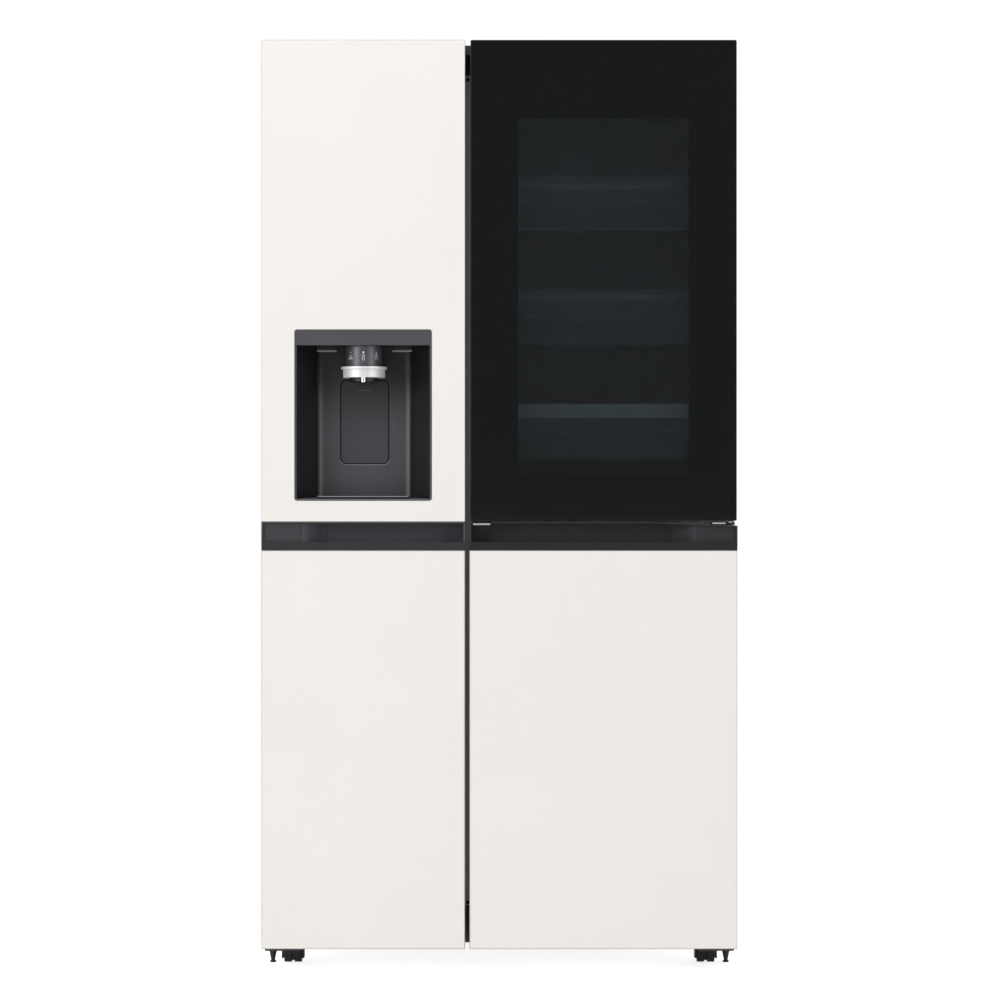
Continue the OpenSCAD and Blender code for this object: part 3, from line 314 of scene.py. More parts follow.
keep("shelf_glass", [0.93, 0.97, 0.96, 1], (0.0, 0.0), grain=300, bump=0.0, vary=0.01,
     clear=1.0, ior=1.45)
keep("clear_moulding", [0.95, 0.975, 0.985, 1], (0.05, 0.1), grain=500, bump=0.0, vary=0.02,
     clear=0.9, ior=1.48)
keep("liner_moulding", [0.84, 0.85, 0.86, 1], (0.2, 0.3), grain=350, bump=0.08, vary=0.012)
keep("seal_grey", [0.33, 0.33, 0.335, 1], (0.5, 0.62), grain=1800, bump=0.3, vary=0.06)
keep("hard_black", shade(34, 34, 35), (0.5, 0.65), grain=1200, bump=0.5, vary=0.12)
keep("bright_satin", [0.80, 0.80, 0.815, 1], (0.16, 0.24), grain=1500, bump=0.03, vary=0.02,
     metal=1.0)
keep("button_silver", [0.70, 0.70, 0.71, 1], (0.22, 0.34), grain=900, bump=0.05, vary=0.04,
     stretch=(0.1, 1, 1), metal=1.0)
keep("bare_aluminium", [0.78, 0.79, 0.80, 1], (0.28, 0.44), grain=900, bump=0.1, vary=0.05,
     stretch=(0.08, 1, 1), metal=1.0)
keep("zinc_plate", [0.60, 0.60, 0.58, 1], (0.26, 0.4), grain=700, bump=0.15, vary=0.07, metal=1.0)
keep("copper_pipe", [0.72, 0.35, 0.2, 1], (0.24, 0.42), grain=600, bump=0.1, vary=0.12, metal=1.0)
keep("foam_body", [0.80, 0.72, 0.45, 1], (0.8, 0.95), grain=500, bump=1.0, vary=0.1)
keep("frosted_rail", [0.50, 0.53, 0.55, 1], (0.35, 0.45), grain=900, bump=0.1, vary=0.02)
keep("icon_white", shade(214, 216, 220), (0.4, 0.5), vary=0.01, glow=0.25,
     glow_tint=shade(214, 216, 220))
keep("lamp_lens", [0.85, 0.87, 0.9, 1], (0.3, 0.4), vary=0.01, glow=0.8,
     glow_tint=shade(235, 238, 245))
FINISH["galvanised_sheet"] = material("galvanised_sheet", SPANGLE, 0.1, (1, 1, 1), {"metal": 1.0}, {
    "Scale": 110, "Tone A": [0.57, 0.58, 0.59, 1], "Tone B": [0.62, 0.63, 0.64, 1]})

# Painted shade: the recess back wall and the lever pad darken towards the top, as under the recess
# ceiling.
paint_shade_by_height(FINISH["recess_back_moulding"], 1.03, 1.17, 0.12)
paint_shade_by_height(FINISH["lever_moulding"], 1.03, 1.135, 0.3)

# ---- Making pieces ----


def settle(name, bm, finishes, body, nodes=(), smooth=35):
    """A bmesh as a piece on a body, with its finishes in order and its shading set."""
    mesh = bpy.data.meshes.new(name)
    bm.to_mesh(mesh)
    bm.free()
    for finish_name in finishes:
        mesh.materials.append(FINISH[finish_name])
    mesh.shade_smooth()
    mesh.set_sharp_from_angle(angle=math.radians(smooth))
    piece = bpy.data.objects.new(name, mesh)
    bpy.context.scene.collection.objects.link(piece)
    even = piece.modifiers.new("even_shading", "WEIGHTED_NORMAL")
    even.keep_sharp = True
    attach(piece, body)
    if nodes:
        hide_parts(*nodes)
    return piece


def merged(node):
    """A copy of a CAD node as one clean bmesh without its flat faces' inner edges."""
    bm = bmesh.new()
    bm.from_mesh(frame["nodes"][node].data)
    bmesh.ops.remove_doubles(bm, verts=bm.verts, dist=0.02 * MM)
    bmesh.ops.dissolve_limit(bm, angle_limit=math.radians(0.6), verts=bm.verts, edges=bm.edges)
    return bm


def ease(bm, width, segments=2, angle=32, where=None):
    """Rounds a bmesh's sharp edges, or those of them whose middle passes a test."""
    sharp = [e for e in bm.edges if e.is_manifold and e.calc_face_angle(0) > math.radians(angle)
             and e.calc_length() > 0.2 * width
             and (where is None or where((e.verts[0].co + e.verts[1].co) / 2))]
    bmesh.ops.bevel(bm, geom=sharp, offset=width, offset_type="OFFSET", segments=segments,
                    profile=0.5, affect="EDGES", clamp_overlap=True, material=-1)


def cut_at(bm, point, normal):
    """Cuts the faces of a bmesh along a plane and keeps both sides."""
    bmesh.ops.bisect_plane(bm, geom=bm.verts[:] + bm.edges[:] + bm.faces[:], dist=1e-6,
                           plane_co=point, plane_no=normal)


def tint(bm, index, test):
    """Gives a finish number to the faces whose middle and normal pass a test."""
    for face in bm.faces:
        if test(face.calc_center_median(), face.normal):
            face.material_index = index


def softened(node, finish_name, width=0.6 * MM, segments=2, angle=32, smooth=35):
    """The CAD node's shape with its edges eased, standing for it."""
    bm = merged(node)
    ease(bm, width, segments, angle)
    return settle(node + "_eased", bm, [finish_name], BODY_OF[node], [node], smooth)


def cuboid(bm, low, high):
    """Adds a box between two corners and returns its vertices."""
    low, high = Vector(low), Vector(high)
    place = Matrix.Translation((low + high) / 2) @ Matrix.Diagonal((*(high - low), 1))
    return bmesh.ops.create_cube(bm, size=1, matrix=place)["verts"]


def disc(bm, middle, radius, depth, axis="Y", sides=32, top=None):
    """Adds a round bar or cone along an axis and returns its vertices."""
    turn = {"X": Matrix.Rotation(math.radians(90), 4, "Y"),
            "Y": Matrix.Rotation(math.radians(90), 4, "X"), "Z": Matrix.Identity(4)}[axis]
    return bmesh.ops.create_cone(bm, cap_ends=True, segments=sides, radius1=radius,
                                 radius2=radius if top is None else top, depth=depth,
                                 matrix=Matrix.Translation(middle) @ turn)["verts"]


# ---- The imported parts, eased and finished ----

EASED = [
    ("outer_case", "case_enamel", 1.2, 3), ("rear_panel", "galvanised_sheet", 0.3, 1),
    ("freezer_liner", "liner_moulding", 2.0, 3), ("fridge_liner", "liner_moulding", 2.0, 3),
    ("centre_mullion", "mullion_painted_light", 0.6, 2), ("kick_plate", "trim_moulding", 0.6, 2),
    ("top_cover", "trim_moulding", 1.0, 3), ("top_hinges", "zinc_plate", 0.5, 2),
    ("bottom_hinges", "black_enamel", 0.5, 2), ("freezer_shelves", "shelf_glass", 0.6, 2),
    ("fridge_shelves", "shelf_glass", 0.6, 2), ("freezer_air_duct", "liner_moulding", 1.0, 2),
    ("fridge_air_duct", "liner_moulding", 1.0, 2), ("machine_tray", "zinc_plate", 0.4, 1),
    ("drain_pan", "black_moulding", 0.5, 2),
    ("power_inlet", "black_moulding", 0.4, 2), ("levelling_foot_left", "hard_black", 0.3, 1),
    ("levelling_foot_right", "hard_black", 0.3, 1), ("front_rollers", "hard_black", 0.5, 2),
    ("rear_rollers", "hard_black", 0.5, 2), ("condenser_fan", "black_moulding", 0.3, 1),
    ("evaporator_fan", "liner_moulding", 0.3, 1), ("upper_crisper", "clear_moulding", 0.8, 2),
    ("lower_crisper", "clear_moulding", 0.8, 2), ("upper_freezer_drawer", "clear_moulding", 0.8, 2),
    ("lower_freezer_drawer", "clear_moulding", 0.8, 2),
    ("freezer_door_core", "door_edge_moulding", 0.8, 2),
    ("fridge_door_core", "door_edge_moulding", 0.8, 2), ("freezer_door_liner", "liner_moulding", 1.5, 3),
    ("fridge_door_liner", "liner_moulding", 1.5, 3), ("dispenser_ring", "ring_satin", 0.8, 3),
    ("water_spout", "bright_satin", 0.4, 2),
    ("dispenser_lever", "lever_moulding", 0.8, 3), ("chute_flap", "black_moulding", 0.5, 2),
    ("drip_tray", "recess_dark_and_painted_shade", 0.4, 2), ("ice_maker", "liner_moulding", 1.0, 2),
    ("ice_bucket", "clear_moulding", 1.0, 2), ("ice_auger", "bare_aluminium", 0.3, 1),
    ("freezer_door_bins", "clear_moulding", 0.8, 2), ("fridge_door_bins", "clear_moulding", 0.8, 2),
    ("view_hinges", "black_enamel", 0.3, 2), ("release_button", "button_silver", 0.4, 2),
    ("inner_glass", "shelf_glass", 0.4, 2),
    ("view_door_frame", "border_black", 0.6, 2), ]
for node, finish_name, width, segments in EASED:
    softened(node, finish_name, width * MM, segments)
for node, finish_name in (("insulation_foam", "foam_body"), ("compressor", "black_enamel"),
                          ("condenser", "black_enamel"), ("evaporator", "bare_aluminium")):
    frame["nodes"][node].data.materials.clear()
    frame["nodes"][node].data.materials.append(FINISH[finish_name])

# ---- Dispenser ----

HOUSING_LOW, HOUSING_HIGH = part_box("dispenser_housing")
SPOT_X = (HOUSING_LOW.x + HOUSING_HIGH.x) / 2
HEAD_LOW, HEAD_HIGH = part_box("dispenser_head")
LEVER_LOW, LEVER_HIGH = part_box("dispenser_lever")
TRAY_LOW, TRAY_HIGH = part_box("drip_tray")
CEILING = HEAD_HIGH.z
BACK_WALL = LEVER_LOW.y


def make_housing():
    """The frame and recess: a lighter control strip and rim, a satin back, and sides and ceiling in a
    much darker finish, partly the real dark moulding and partly painted shade.
    """
    bm = merged("dispenser_housing")
    cut_at(bm, (0, 0, CEILING), (0, 0, 1))
    cut_at(bm, (0, 0, HOUSING_LOW.z + 3.3 * MM), (0, 0, 1))
    bm.normal_update()
    # Faces left at index 0, the recess sides and ceiling, keep the dark finish that paints shade on them.
    tint(bm, 1, lambda c, n: n.y < -0.9 and c.y < FRONT + 0.5 * MM and c.z > CEILING)
    tint(bm, 2, lambda c, n: n.y < -0.9 and c.y < FRONT + 0.5 * MM and c.z < CEILING)
    tint(bm, 4, lambda c, n: n.y < -0.9 and c.y < FRONT + 0.5 * MM and c.z < HOUSING_LOW.z + 3 * MM)
    tint(bm, 3, lambda c, n: n.y < -0.9 and abs(c.y - BACK_WALL) < 1 * MM)
    tint(bm, 3, lambda c, n: n.z > 0.9 and c.z < TRAY_HIGH.z + 3 * MM and c.y < BACK_WALL)
    corner = [e for e in bm.edges if e.is_manifold and abs(e.verts[0].co.x - e.verts[1].co.x) < MM
              and all(abs(v.co.y - BACK_WALL) < MM and abs(abs(v.co.x - SPOT_X) - 89 * MM) < MM
                      for v in e.verts)]
    bmesh.ops.bevel(bm, geom=corner, offset=12 * MM, offset_type="OFFSET", segments=6, profile=0.5,
                    affect="EDGES", clamp_overlap=True, material=-1)
    ease(bm, 0.5 * MM, 2)
    settle("dispenser_frame", bm, ["recess_dark_and_painted_shade", "strip_moulding", "rim_moulding",
                                   "recess_back_moulding", "sill_moulding"],
           "freezer_door", ["dispenser_housing"])


def make_head():
    """The satin head, with its ice mouth below the ring in black."""
    bm = merged("dispenser_head")
    ring_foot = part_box("dispenser_ring")[0].z
    cut_at(bm, (0, 0, ring_foot), (0, 0, 1))
    tint(bm, 1, lambda c, n: c.z < ring_foot + 0.1 * MM)
    ease(bm, 0.6 * MM, 2)
    settle("dispenser_head_satin", bm, ["head_satin", "black_moulding"], BODY_OF["dispenser_head"],
           ["dispenser_head"])


def outline_ring(bm, sides, radius, middle, wall, stretch=1, turn=0):
    """Adds a thin flat ring of n sides, seen from the front, round a point."""
    place = (Matrix.Translation(middle) @ Matrix.Rotation(math.radians(90), 4, "X")
             @ Matrix.Diagonal((1, stretch, 1, 1)) @ Matrix.Rotation(math.radians(turn), 4, "Z"))
    made = bmesh.ops.create_circle(bm, cap_ends=True, segments=sides, radius=radius, matrix=place)
    face = made["verts"][0].link_faces[0]
    bmesh.ops.inset_region(bm, faces=[face], thickness=wall, use_boundary=True, use_even_offset=True)
    bmesh.ops.delete(bm, geom=[face], context="FACES_ONLY")


def dot(bm, middle, radius, sides=12):
    """Adds a flat round dot, seen from the front."""
    bmesh.ops.create_circle(bm, cap_ends=True, segments=sides, radius=radius,
                            matrix=Matrix.Translation(middle) @ Matrix.Rotation(math.radians(90), 4, "X"))


def wrap_on_head(bm, proud):
    """Lays flat marks on the round front of the head, a little proud of it."""
    radius = (HEAD_HIGH.x - HEAD_LOW.x) / 2
    centre = HEAD_LOW.y + radius
    for vert in bm.verts:
        across = vert.co.x - SPOT_X
        vert.co.y = centre - math.sqrt(max(0, radius ** 2 - across ** 2)) - proud
    bmesh.ops.recalc_face_normals(bm, faces=bm.faces)
    if sum(f.normal.y * f.calc_area() for f in bm.faces) > 0:
        bmesh.ops.reverse_faces(bm, faces=bm.faces)


def make_marks():
    """Three generic marks on the head, for crushed ice, ice cubes and water, with dots above."""
    row = CEILING - 22.5 * MM
    marks = bmesh.new()
    for across, up in ((-2.2, -2), (2.2, -2), (0, 2.2)):
        outline_ring(marks, 4, 2.3 * MM, (SPOT_X + (across - 24.6) * MM, 0, row + up * MM), 1.0 * MM)
    for up in (-3.2, 3.2):
        outline_ring(marks, 8, 3.1 * MM, (SPOT_X, 0, row + up * MM), 1.0 * MM, turn=22.5)
    outline_ring(marks, 16, 3.2 * MM, (SPOT_X + 24.6 * MM, 0, row - 1.2 * MM), 1.0 * MM)
    outline_ring(marks, 3, 3.0 * MM, (SPOT_X + 24.6 * MM, 0, row + 4.4 * MM), 1.0 * MM, stretch=1.2,
                 turn=90)
    for across in (-24.6, 24.6):
        dot(marks, (SPOT_X + across * MM, 0, CEILING - 13 * MM), 1.2 * MM)
    wrap_on_head(marks, 0.35 * MM)
    settle("head_marks", marks, ["mark_grey"], "freezer_door")
    lit = bmesh.new()
    dot(lit, (SPOT_X, 0, CEILING - 13 * MM), 1.7 * MM, 20)
    wrap_on_head(lit, 0.4 * MM)
    settle("head_lit_dot", lit, ["icon_white"], "freezer_door")


def make_recess_lamps():
    """Two narrow lamp lenses under the ceiling, near the back wall."""
    bm = bmesh.new()
    for side in (-1, 1):
        middle = SPOT_X + side * 74 * MM
        verts = cuboid(bm, (middle - 20 * MM, BACK_WALL - 13 * MM, CEILING - 10 * MM),
                       (middle + 20 * MM, BACK_WALL - 9 * MM, CEILING - 6.5 * MM))
        for vert in verts:
            if vert.co.z < CEILING - 8 * MM and abs(vert.co.x - SPOT_X) > 80 * MM:
                vert.co.x -= side * 4 * MM
        cuboid(bm, (middle - 18 * MM, BACK_WALL - 12.5 * MM, CEILING - 7 * MM),
               (middle + 18 * MM, BACK_WALL - 9.5 * MM, CEILING - 0.1 * MM))
    bm.normal_update()
    tint(bm, 1, lambda c, n: c.z > CEILING - 6.6 * MM)
    ease(bm, 0.5 * MM, 2)
    settle("recess_lamps", bm, ["lens_grey_and_painted_highlight", "recess_dark_and_painted_shade"], "freezer_door")


def make_lever_line():
    """A short raised line near the top of the lever pad."""
    bm = bmesh.new()
    cuboid(bm, (SPOT_X - 13.5 * MM, LEVER_LOW.y - 0.35 * MM, 1120.4 * MM),
           (SPOT_X + 13.5 * MM, LEVER_LOW.y + 0.4 * MM, 1121.8 * MM))
    ease(bm, 0.3 * MM, 2)
    settle("lever_line", bm, ["strip_moulding"], "dispenser_lever")


def make_pocket_painted_highlight():
    """A painted highlight on the lower edge of the lever's pocket: a thin pale rim round the foot of the
    pad.
    """
    bm = bmesh.new()
    grow, rim = 3.2 * MM, 0.9 * MM
    cuboid(bm, (LEVER_LOW.x + 5.5 * MM - grow, BACK_WALL - 0.3 * MM, LEVER_LOW.z - grow),
           (LEVER_HIGH.x - 5.5 * MM + grow, BACK_WALL + 0.1 * MM, LEVER_HIGH.z + grow))
    upright = [e for e in bm.edges if abs(e.verts[0].co.y - e.verts[1].co.y) > 0.1 * MM]
    bmesh.ops.bevel(bm, geom=upright, offset=13 * MM, offset_type="OFFSET", segments=8,
                    profile=0.5, affect="EDGES", clamp_overlap=True, material=-1)
    bm.normal_update()
    front = [f for f in bm.faces if f.normal.y < -0.9]
    bmesh.ops.inset_region(bm, faces=front, thickness=rim)
    bmesh.ops.delete(bm, geom=front + [f for f in bm.faces if f.normal.y > 0.9], context="FACES")
    bmesh.ops.bisect_plane(bm, geom=bm.verts[:] + bm.edges[:] + bm.faces[:], dist=1e-6,
                           plane_co=(0, 0, LEVER_LOW.z + 6 * MM), plane_no=(0, 0, 1),
                           clear_outer=True)
    bmesh.ops.solidify(bm, geom=bm.faces[:], thickness=0.15 * MM)
    settle("lever_pocket_painted_highlight", bm, ["lens_grey_and_painted_highlight"], "freezer_door")


def make_tray_painted_highlight():
    """A painted highlight: a lighter strip along the tray's front edge."""
    bm = bmesh.new()
    cuboid(bm, (TRAY_LOW.x + MM, TRAY_LOW.y - 0.3 * MM, TRAY_HIGH.z - 1.3 * MM),
           (TRAY_HIGH.x - MM, TRAY_LOW.y + 0.6 * MM, TRAY_HIGH.z + 0.1 * MM))
    ease(bm, 0.3 * MM, 2)
    settle("drip_tray_painted_highlight", bm, ["lens_grey_and_painted_highlight"], "drip_tray")


make_housing()
make_head()
make_pocket_painted_highlight()
make_tray_painted_highlight()
make_marks()
make_recess_lamps()
make_lever_line()

# ---- Door panels, bands and seals ----


def make_panel(node, fillet):
    """A painted door skin whose rounded edge takes a darker copy of its cream, as painted shade."""
    bm = merged(node)
    front = [e for e in bm.edges if e.is_manifold and e.calc_face_angle(0) > math.radians(32)
             and all(v.co.y < FRONT + 0.5 * MM for v in e.verts)]
    bmesh.ops.bevel(bm, geom=front, offset=fillet, offset_type="OFFSET", segments=4, profile=0.5,
                    affect="EDGES", clamp_overlap=True, material=1)
    settle(node + "_skin", bm, ["cream_enamel", "cream_edge_painted_shade"], BODY_OF[node], [node])


def make_band(node, pocket_finish_painted_light, lip_finish_painted_shade, end, hinge_x):
    """A handle band: its lip, its shallow hinge end and its finger pocket, in copies of one grey that
    paint light in the pocket and shade on the lip.
    """
    low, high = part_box(node)
    bm = merged(node)
    bm.normal_update()
    lip_top = low.z + 15.5 * MM
    cut_at(bm, (0, 0, lip_top), (0, 0, 1))
    bm.normal_update()
    # Painted shade: the lip's front face takes the darker copy of the grey; the pocket keeps the lighter
    # copy, painted light.
    tint(bm, 1, lambda c, n: n.y < -0.9 and c.y < FRONT + 0.5 * MM and c.z < lip_top + MM)
    tint(bm, 2, lambda c, n: n.y < -0.9 and c.z > lip_top and abs(c.x - hinge_x) < 131 * MM)
    ease(bm, 0.6 * MM, 2, where=lambda c: c.z < high.z - MM)
    settle(node + "_band", bm, [pocket_finish_painted_light, lip_finish_painted_shade, end], BODY_OF[node], [node])


def make_seal(node, groove):
    """A bellows seal with a groove all round its inner and outer sides."""
    bm = merged(node)
    bm.normal_update()
    sides = [f for f in bm.faces if abs(f.normal.y) < 0.1]
    bmesh.ops.inset_region(bm, faces=sides, thickness=groove, depth=-groove,
                           use_even_offset=True)
    ease(bm, 0.4 * groove, 2)
    settle(node + "_bellows", bm, ["seal_grey"], BODY_OF[node], [node])


for node in ("freezer_upper_panel", "freezer_lower_panel", "fridge_lower_panel"):
    make_panel(node, 1.6 * MM)
make_band("freezer_handle", "band_pocket_painted_light", "band_lip_painted_shade", "band_end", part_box("freezer_handle")[0].x)
make_band("fridge_handle", "right_pocket_painted_light_and_shade", "right_lip_painted_shade", "right_end_painted_shade",
          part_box("fridge_handle")[1].x)
make_seal("freezer_door_gasket", 2.5 * MM)
make_seal("fridge_door_gasket", 2.5 * MM)
make_seal("view_door_gasket", 1.2 * MM)

# ---- View door ----

PANE_LOW, PANE_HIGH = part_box("view_glass")
WINDOW_LOW = Vector((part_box("inner_glass")[0].x + 10 * MM, 0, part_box("inner_glass")[0].z + 10 * MM))
WINDOW_HIGH = Vector((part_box("inner_glass")[1].x - 10 * MM, 0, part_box("inner_glass")[1].z - 10 * MM))


def make_view_pane():
    """The view door's glass: a clear tinted window inside a black printed border."""
    bm = merged("view_glass")
    for edge, normal in ((WINDOW_LOW, (1, 0, 0)), (WINDOW_HIGH, (1, 0, 0)),
                         (WINDOW_LOW, (0, 0, 1)), (WINDOW_HIGH, (0, 0, 1))):
        cut_at(bm, edge, normal)
    tint(bm, 1, lambda c, n: not (WINDOW_LOW.x < c.x < WINDOW_HIGH.x
                                  and WINDOW_LOW.z < c.z < WINDOW_HIGH.z))
    ease(bm, 0.8 * MM, 3)
    settle("view_pane", bm, ["tinted_glass", "border_black"], "view_door",
           ["view_glass"])


def make_view_hinge_trim():
    """A silver bar and a threaded collar in the wedge under the view door's hinge side."""
    low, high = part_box("view_hinges")
    pin_x, pin_y = PANE_HIGH.x - 12 * MM, PANE_LOW.y + 22 * MM
    bm = bmesh.new()
    cuboid(bm, (low.x + 27.5 * MM, FRONT + 1.5 * MM, low.z + 1.0 * MM),
           (low.x + 53 * MM, low.y + MM, low.z + 4.4 * MM))
    ease(bm, 0.5 * MM, 2)
    for i in range(5):
        disc(bm, (pin_x, pin_y, low.z + (1.2 + i * 0.9) * MM), 5.4 * MM, 0.45 * MM, "Z", 28)
    disc(bm, (pin_x, pin_y, low.z + 3 * MM), 4.8 * MM, 4.4 * MM, "Z", 28)
    settle("view_hinge_trim", bm, ["button_silver"], "fridge_door")


make_view_pane()
make_view_hinge_trim()


def make_front_feet_bar():
    """The black bar of each front bracket, just under the doors' lower edges."""
    low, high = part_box("bottom_hinges")
    for label, side in (("left", -1), ("right", 1)):
        outer = (low.x if side < 0 else high.x) - side * MM
        inner = outer - side * 68 * MM
        bm = bmesh.new()
        cuboid(bm, (min(outer, inner), low.y, 37.5 * MM), (max(outer, inner), low.y + 4 * MM, 41 * MM))
        cuboid(bm, (min(outer, inner), low.y, 41 * MM), (max(outer, inner), low.y + 30 * MM, 42.5 * MM))
        ease(bm, 0.4 * MM, 2)
        settle("front_bracket_bar_" + label, bm, ["black_enamel"], "cabinet")


make_front_feet_bar()

# ---- Inside ----


def solids_of(node):
    """The corners of each separate solid of a CAD node, lowest first."""
    bm = merged(node)
    boxes, seen = [], set()
    for start in bm.verts:
        if start in seen:
            continue
        reach, group = [start], []
        seen.add(start)
        while reach:
            vert = reach.pop()
            group.append(vert.co.copy())
            for edge in vert.link_edges:
                other = edge.other_vert(vert)
                if other not in seen:
                    seen.add(other)
                    reach.append(other)
        boxes.append((Vector([min(c[i] for c in group) for i in range(3)]),
                      Vector([max(c[i] for c in group) for i in range(3)])))
    bm.free()
    return sorted(boxes, key=lambda pair: pair[0].z)


def make_shelf_trims(node):
    """A satin bar wrapped over the front edge of each glass shelf."""
    bm = bmesh.new()
    for low, high in solids_of(node):
        if high.z - low.z < 20 * MM and high.y - low.y > 100 * MM:
            cuboid(bm, (low.x + MM, low.y - 1.5 * MM, low.z + 0.3 * MM),
                   (high.x - MM, low.y + 9 * MM, high.z + 2.2 * MM))
    ease(bm, 0.9 * MM, 3)
    settle(node + "_trims", bm, ["bright_satin"], "cabinet")


def make_drawer_trim(node):
    """A white grip along the top of a drawer's front, with a finger groove under it."""
    low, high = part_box(node)
    bm = bmesh.new()
    cuboid(bm, (low.x + 4 * MM, low.y - 2 * MM, high.z - 22 * MM),
           (high.x - 4 * MM, low.y + 0.5 * MM, high.z - 3 * MM))
    bm.normal_update()
    front = [f for f in bm.faces if f.normal.y < -0.9]
    bmesh.ops.inset_region(bm, faces=front, thickness=4 * MM, depth=-1.2 * MM)
    ease(bm, 0.5 * MM, 2)
    settle(node + "_grip", bm, ["liner_moulding"], BODY_OF[node])


def make_bin_trims(node):
    """A satin rail along the inner top edge of each door bin and basket."""
    bm = bmesh.new()
    for low, high in solids_of(node):
        cuboid(bm, (low.x + 3 * MM, high.y - 0.6 * MM, high.z - 14 * MM),
               (high.x - 3 * MM, high.y + 0.9 * MM, high.z - 3 * MM))
    ease(bm, 0.5 * MM, 2)
    settle(node + "_rails", bm, ["bright_satin"], BODY_OF[node])


def make_window_rail():
    """A pale rail on the window side of the lowest basket behind the view door."""
    bm = bmesh.new()
    low, high = [pair for pair in solids_of("fridge_door_bins") if pair[1].z > WINDOW_LOW.z][0]
    cuboid(bm, (low.x + 2 * MM, low.y - 0.8 * MM, high.z - 29 * MM),
           (high.x - 2 * MM, low.y + 0.6 * MM, high.z - MM))
    ease(bm, 0.5 * MM, 2)
    settle("window_basket_rail", bm, ["frosted_rail"], "fridge_door")


def make_lamps():
    """A long lamp lens under each compartment's ceiling, in a slim white frame."""
    for node in ("freezer_liner", "fridge_liner"):
        low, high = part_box(node)
        middle, ceiling = (low.x + high.x) / 2, high.z - 3.2 * MM
        bm = bmesh.new()
        cuboid(bm, (middle - 110 * MM, -0.10, ceiling - 4 * MM), (middle + 110 * MM, -0.06, ceiling))
        bm.normal_update()
        under = [f for f in bm.faces if f.normal.z < -0.9]
        bmesh.ops.inset_region(bm, faces=under, thickness=4 * MM, depth=-MM)
        for face in under:
            face.material_index = 1
        ease(bm, 0.5 * MM, 2)
        settle(node + "_lamp", bm, ["liner_moulding", "lamp_lens"], "cabinet")


def make_louvres(node):
    """Rows of small blades in front of an air duct, one row between each pair of shelves."""
    low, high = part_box(node)
    middle = (low.x + high.x) / 2
    rows = [pair[1].z for pair in solids_of(node.replace("air_duct", "shelves"))
            if pair[1].y - pair[0].y > 100 * MM]
    bm = bmesh.new()
    for level in rows:
        for i in range(5):
            up = level + (60 + 9 * i) * MM
            cuboid(bm, (middle - 45 * MM, low.y - 2.5 * MM, up),
                   (middle + 45 * MM, low.y + MM, up + 2.5 * MM))
        for side in (-1, 1):
            cuboid(bm, (middle + side * 46 * MM - 2 * MM, low.y - 3 * MM, level + 56 * MM),
                   (middle + side * 46 * MM + 2 * MM, low.y + MM, level + 103 * MM))
    ease(bm, 0.5 * MM, 2)
    settle(node + "_louvres", bm, ["liner_moulding"], "cabinet")


for node in ("freezer_shelves", "fridge_shelves"):
    make_shelf_trims(node)
for node in ("upper_crisper", "lower_crisper", "upper_freezer_drawer", "lower_freezer_drawer"):
    make_drawer_trim(node)
for node in ("freezer_door_bins", "fridge_door_bins"):
    make_bin_trims(node)
make_window_rail()
make_lamps()
for node in ("freezer_air_duct", "fridge_air_duct"):
    make_louvres(node)

# ---- Screws, pipes and other small parts ----

AXES = {"X": Vector((1, 0, 0)), "Y": Vector((0, 1, 0)), "Z": Vector((0, 0, 1))}


def screw(bm, at, axis, way, radius=4 * MM):
    """Adds a pan head with a round socket, facing one way along an axis."""
    out = AXES[axis] * way
    tall = radius * 0.55
    verts = disc(bm, Vector(at) + out * tall / 2, radius, tall, axis, 24)
    faces = {f for v in verts for f in v.link_faces}
    bm.normal_update()
    head = [f for f in faces if f.normal.dot(out) > 0.9]
    bmesh.ops.inset_region(bm, faces=head, thickness=radius * 0.22, depth=radius * 0.12)
    bmesh.ops.inset_region(bm, faces=head, thickness=radius * 0.3)
    bmesh.ops.translate(bm, verts=list({v for f in head for v in f.verts}), vec=-out * radius * 0.35)


def make_screws(name, places, axis, way, body, radius=4 * MM, finish_name="zinc_plate"):
    """One piece that holds a screw head at each place, all facing the same way."""
    bm = bmesh.new()
    for at in places:
        screw(bm, at, axis, way, radius)
    settle(name, bm, [finish_name], body)


def make_rear_cover():
    """The rear cover, with a square seat sunk round each screw so that no head stands proud."""
    low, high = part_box("rear_cover")
    edge, half, sink = 14 * MM, 5.5 * MM, 3 * MM
    span = high.x - low.x - 2 * edge
    across = [low.x + edge + span * i / 5 for i in range(6)]
    levels = [low.z + edge, high.z - edge]
    bm = merged("rear_cover")
    ease(bm, 0.5 * MM, 2)
    for side in (-half, half):
        for x in across:
            cut_at(bm, (x + side, 0, 0), (1, 0, 0))
        for z in levels:
            cut_at(bm, (0, 0, z + side), (0, 0, 1))
    bm.normal_update()

    def is_seat(face):
        middle = face.calc_center_median()
        return (face.normal.y > 0.9 and middle.y > high.y - MM
                and any(abs(middle.x - x) < MM for x in across)
                and any(abs(middle.z - z) < MM for z in levels))
    seats = [face for face in bm.faces if is_seat(face)]
    bmesh.ops.inset_region(bm, faces=seats, thickness=0.6 * MM, depth=-sink)
    settle("rear_cover_eased", bm, ["hard_black"], "cabinet", ["rear_cover"])
    make_screws("rear_cover_screws", [(x, high.y - sink, z) for x in across for z in levels],
                "Y", 1, "cabinet")


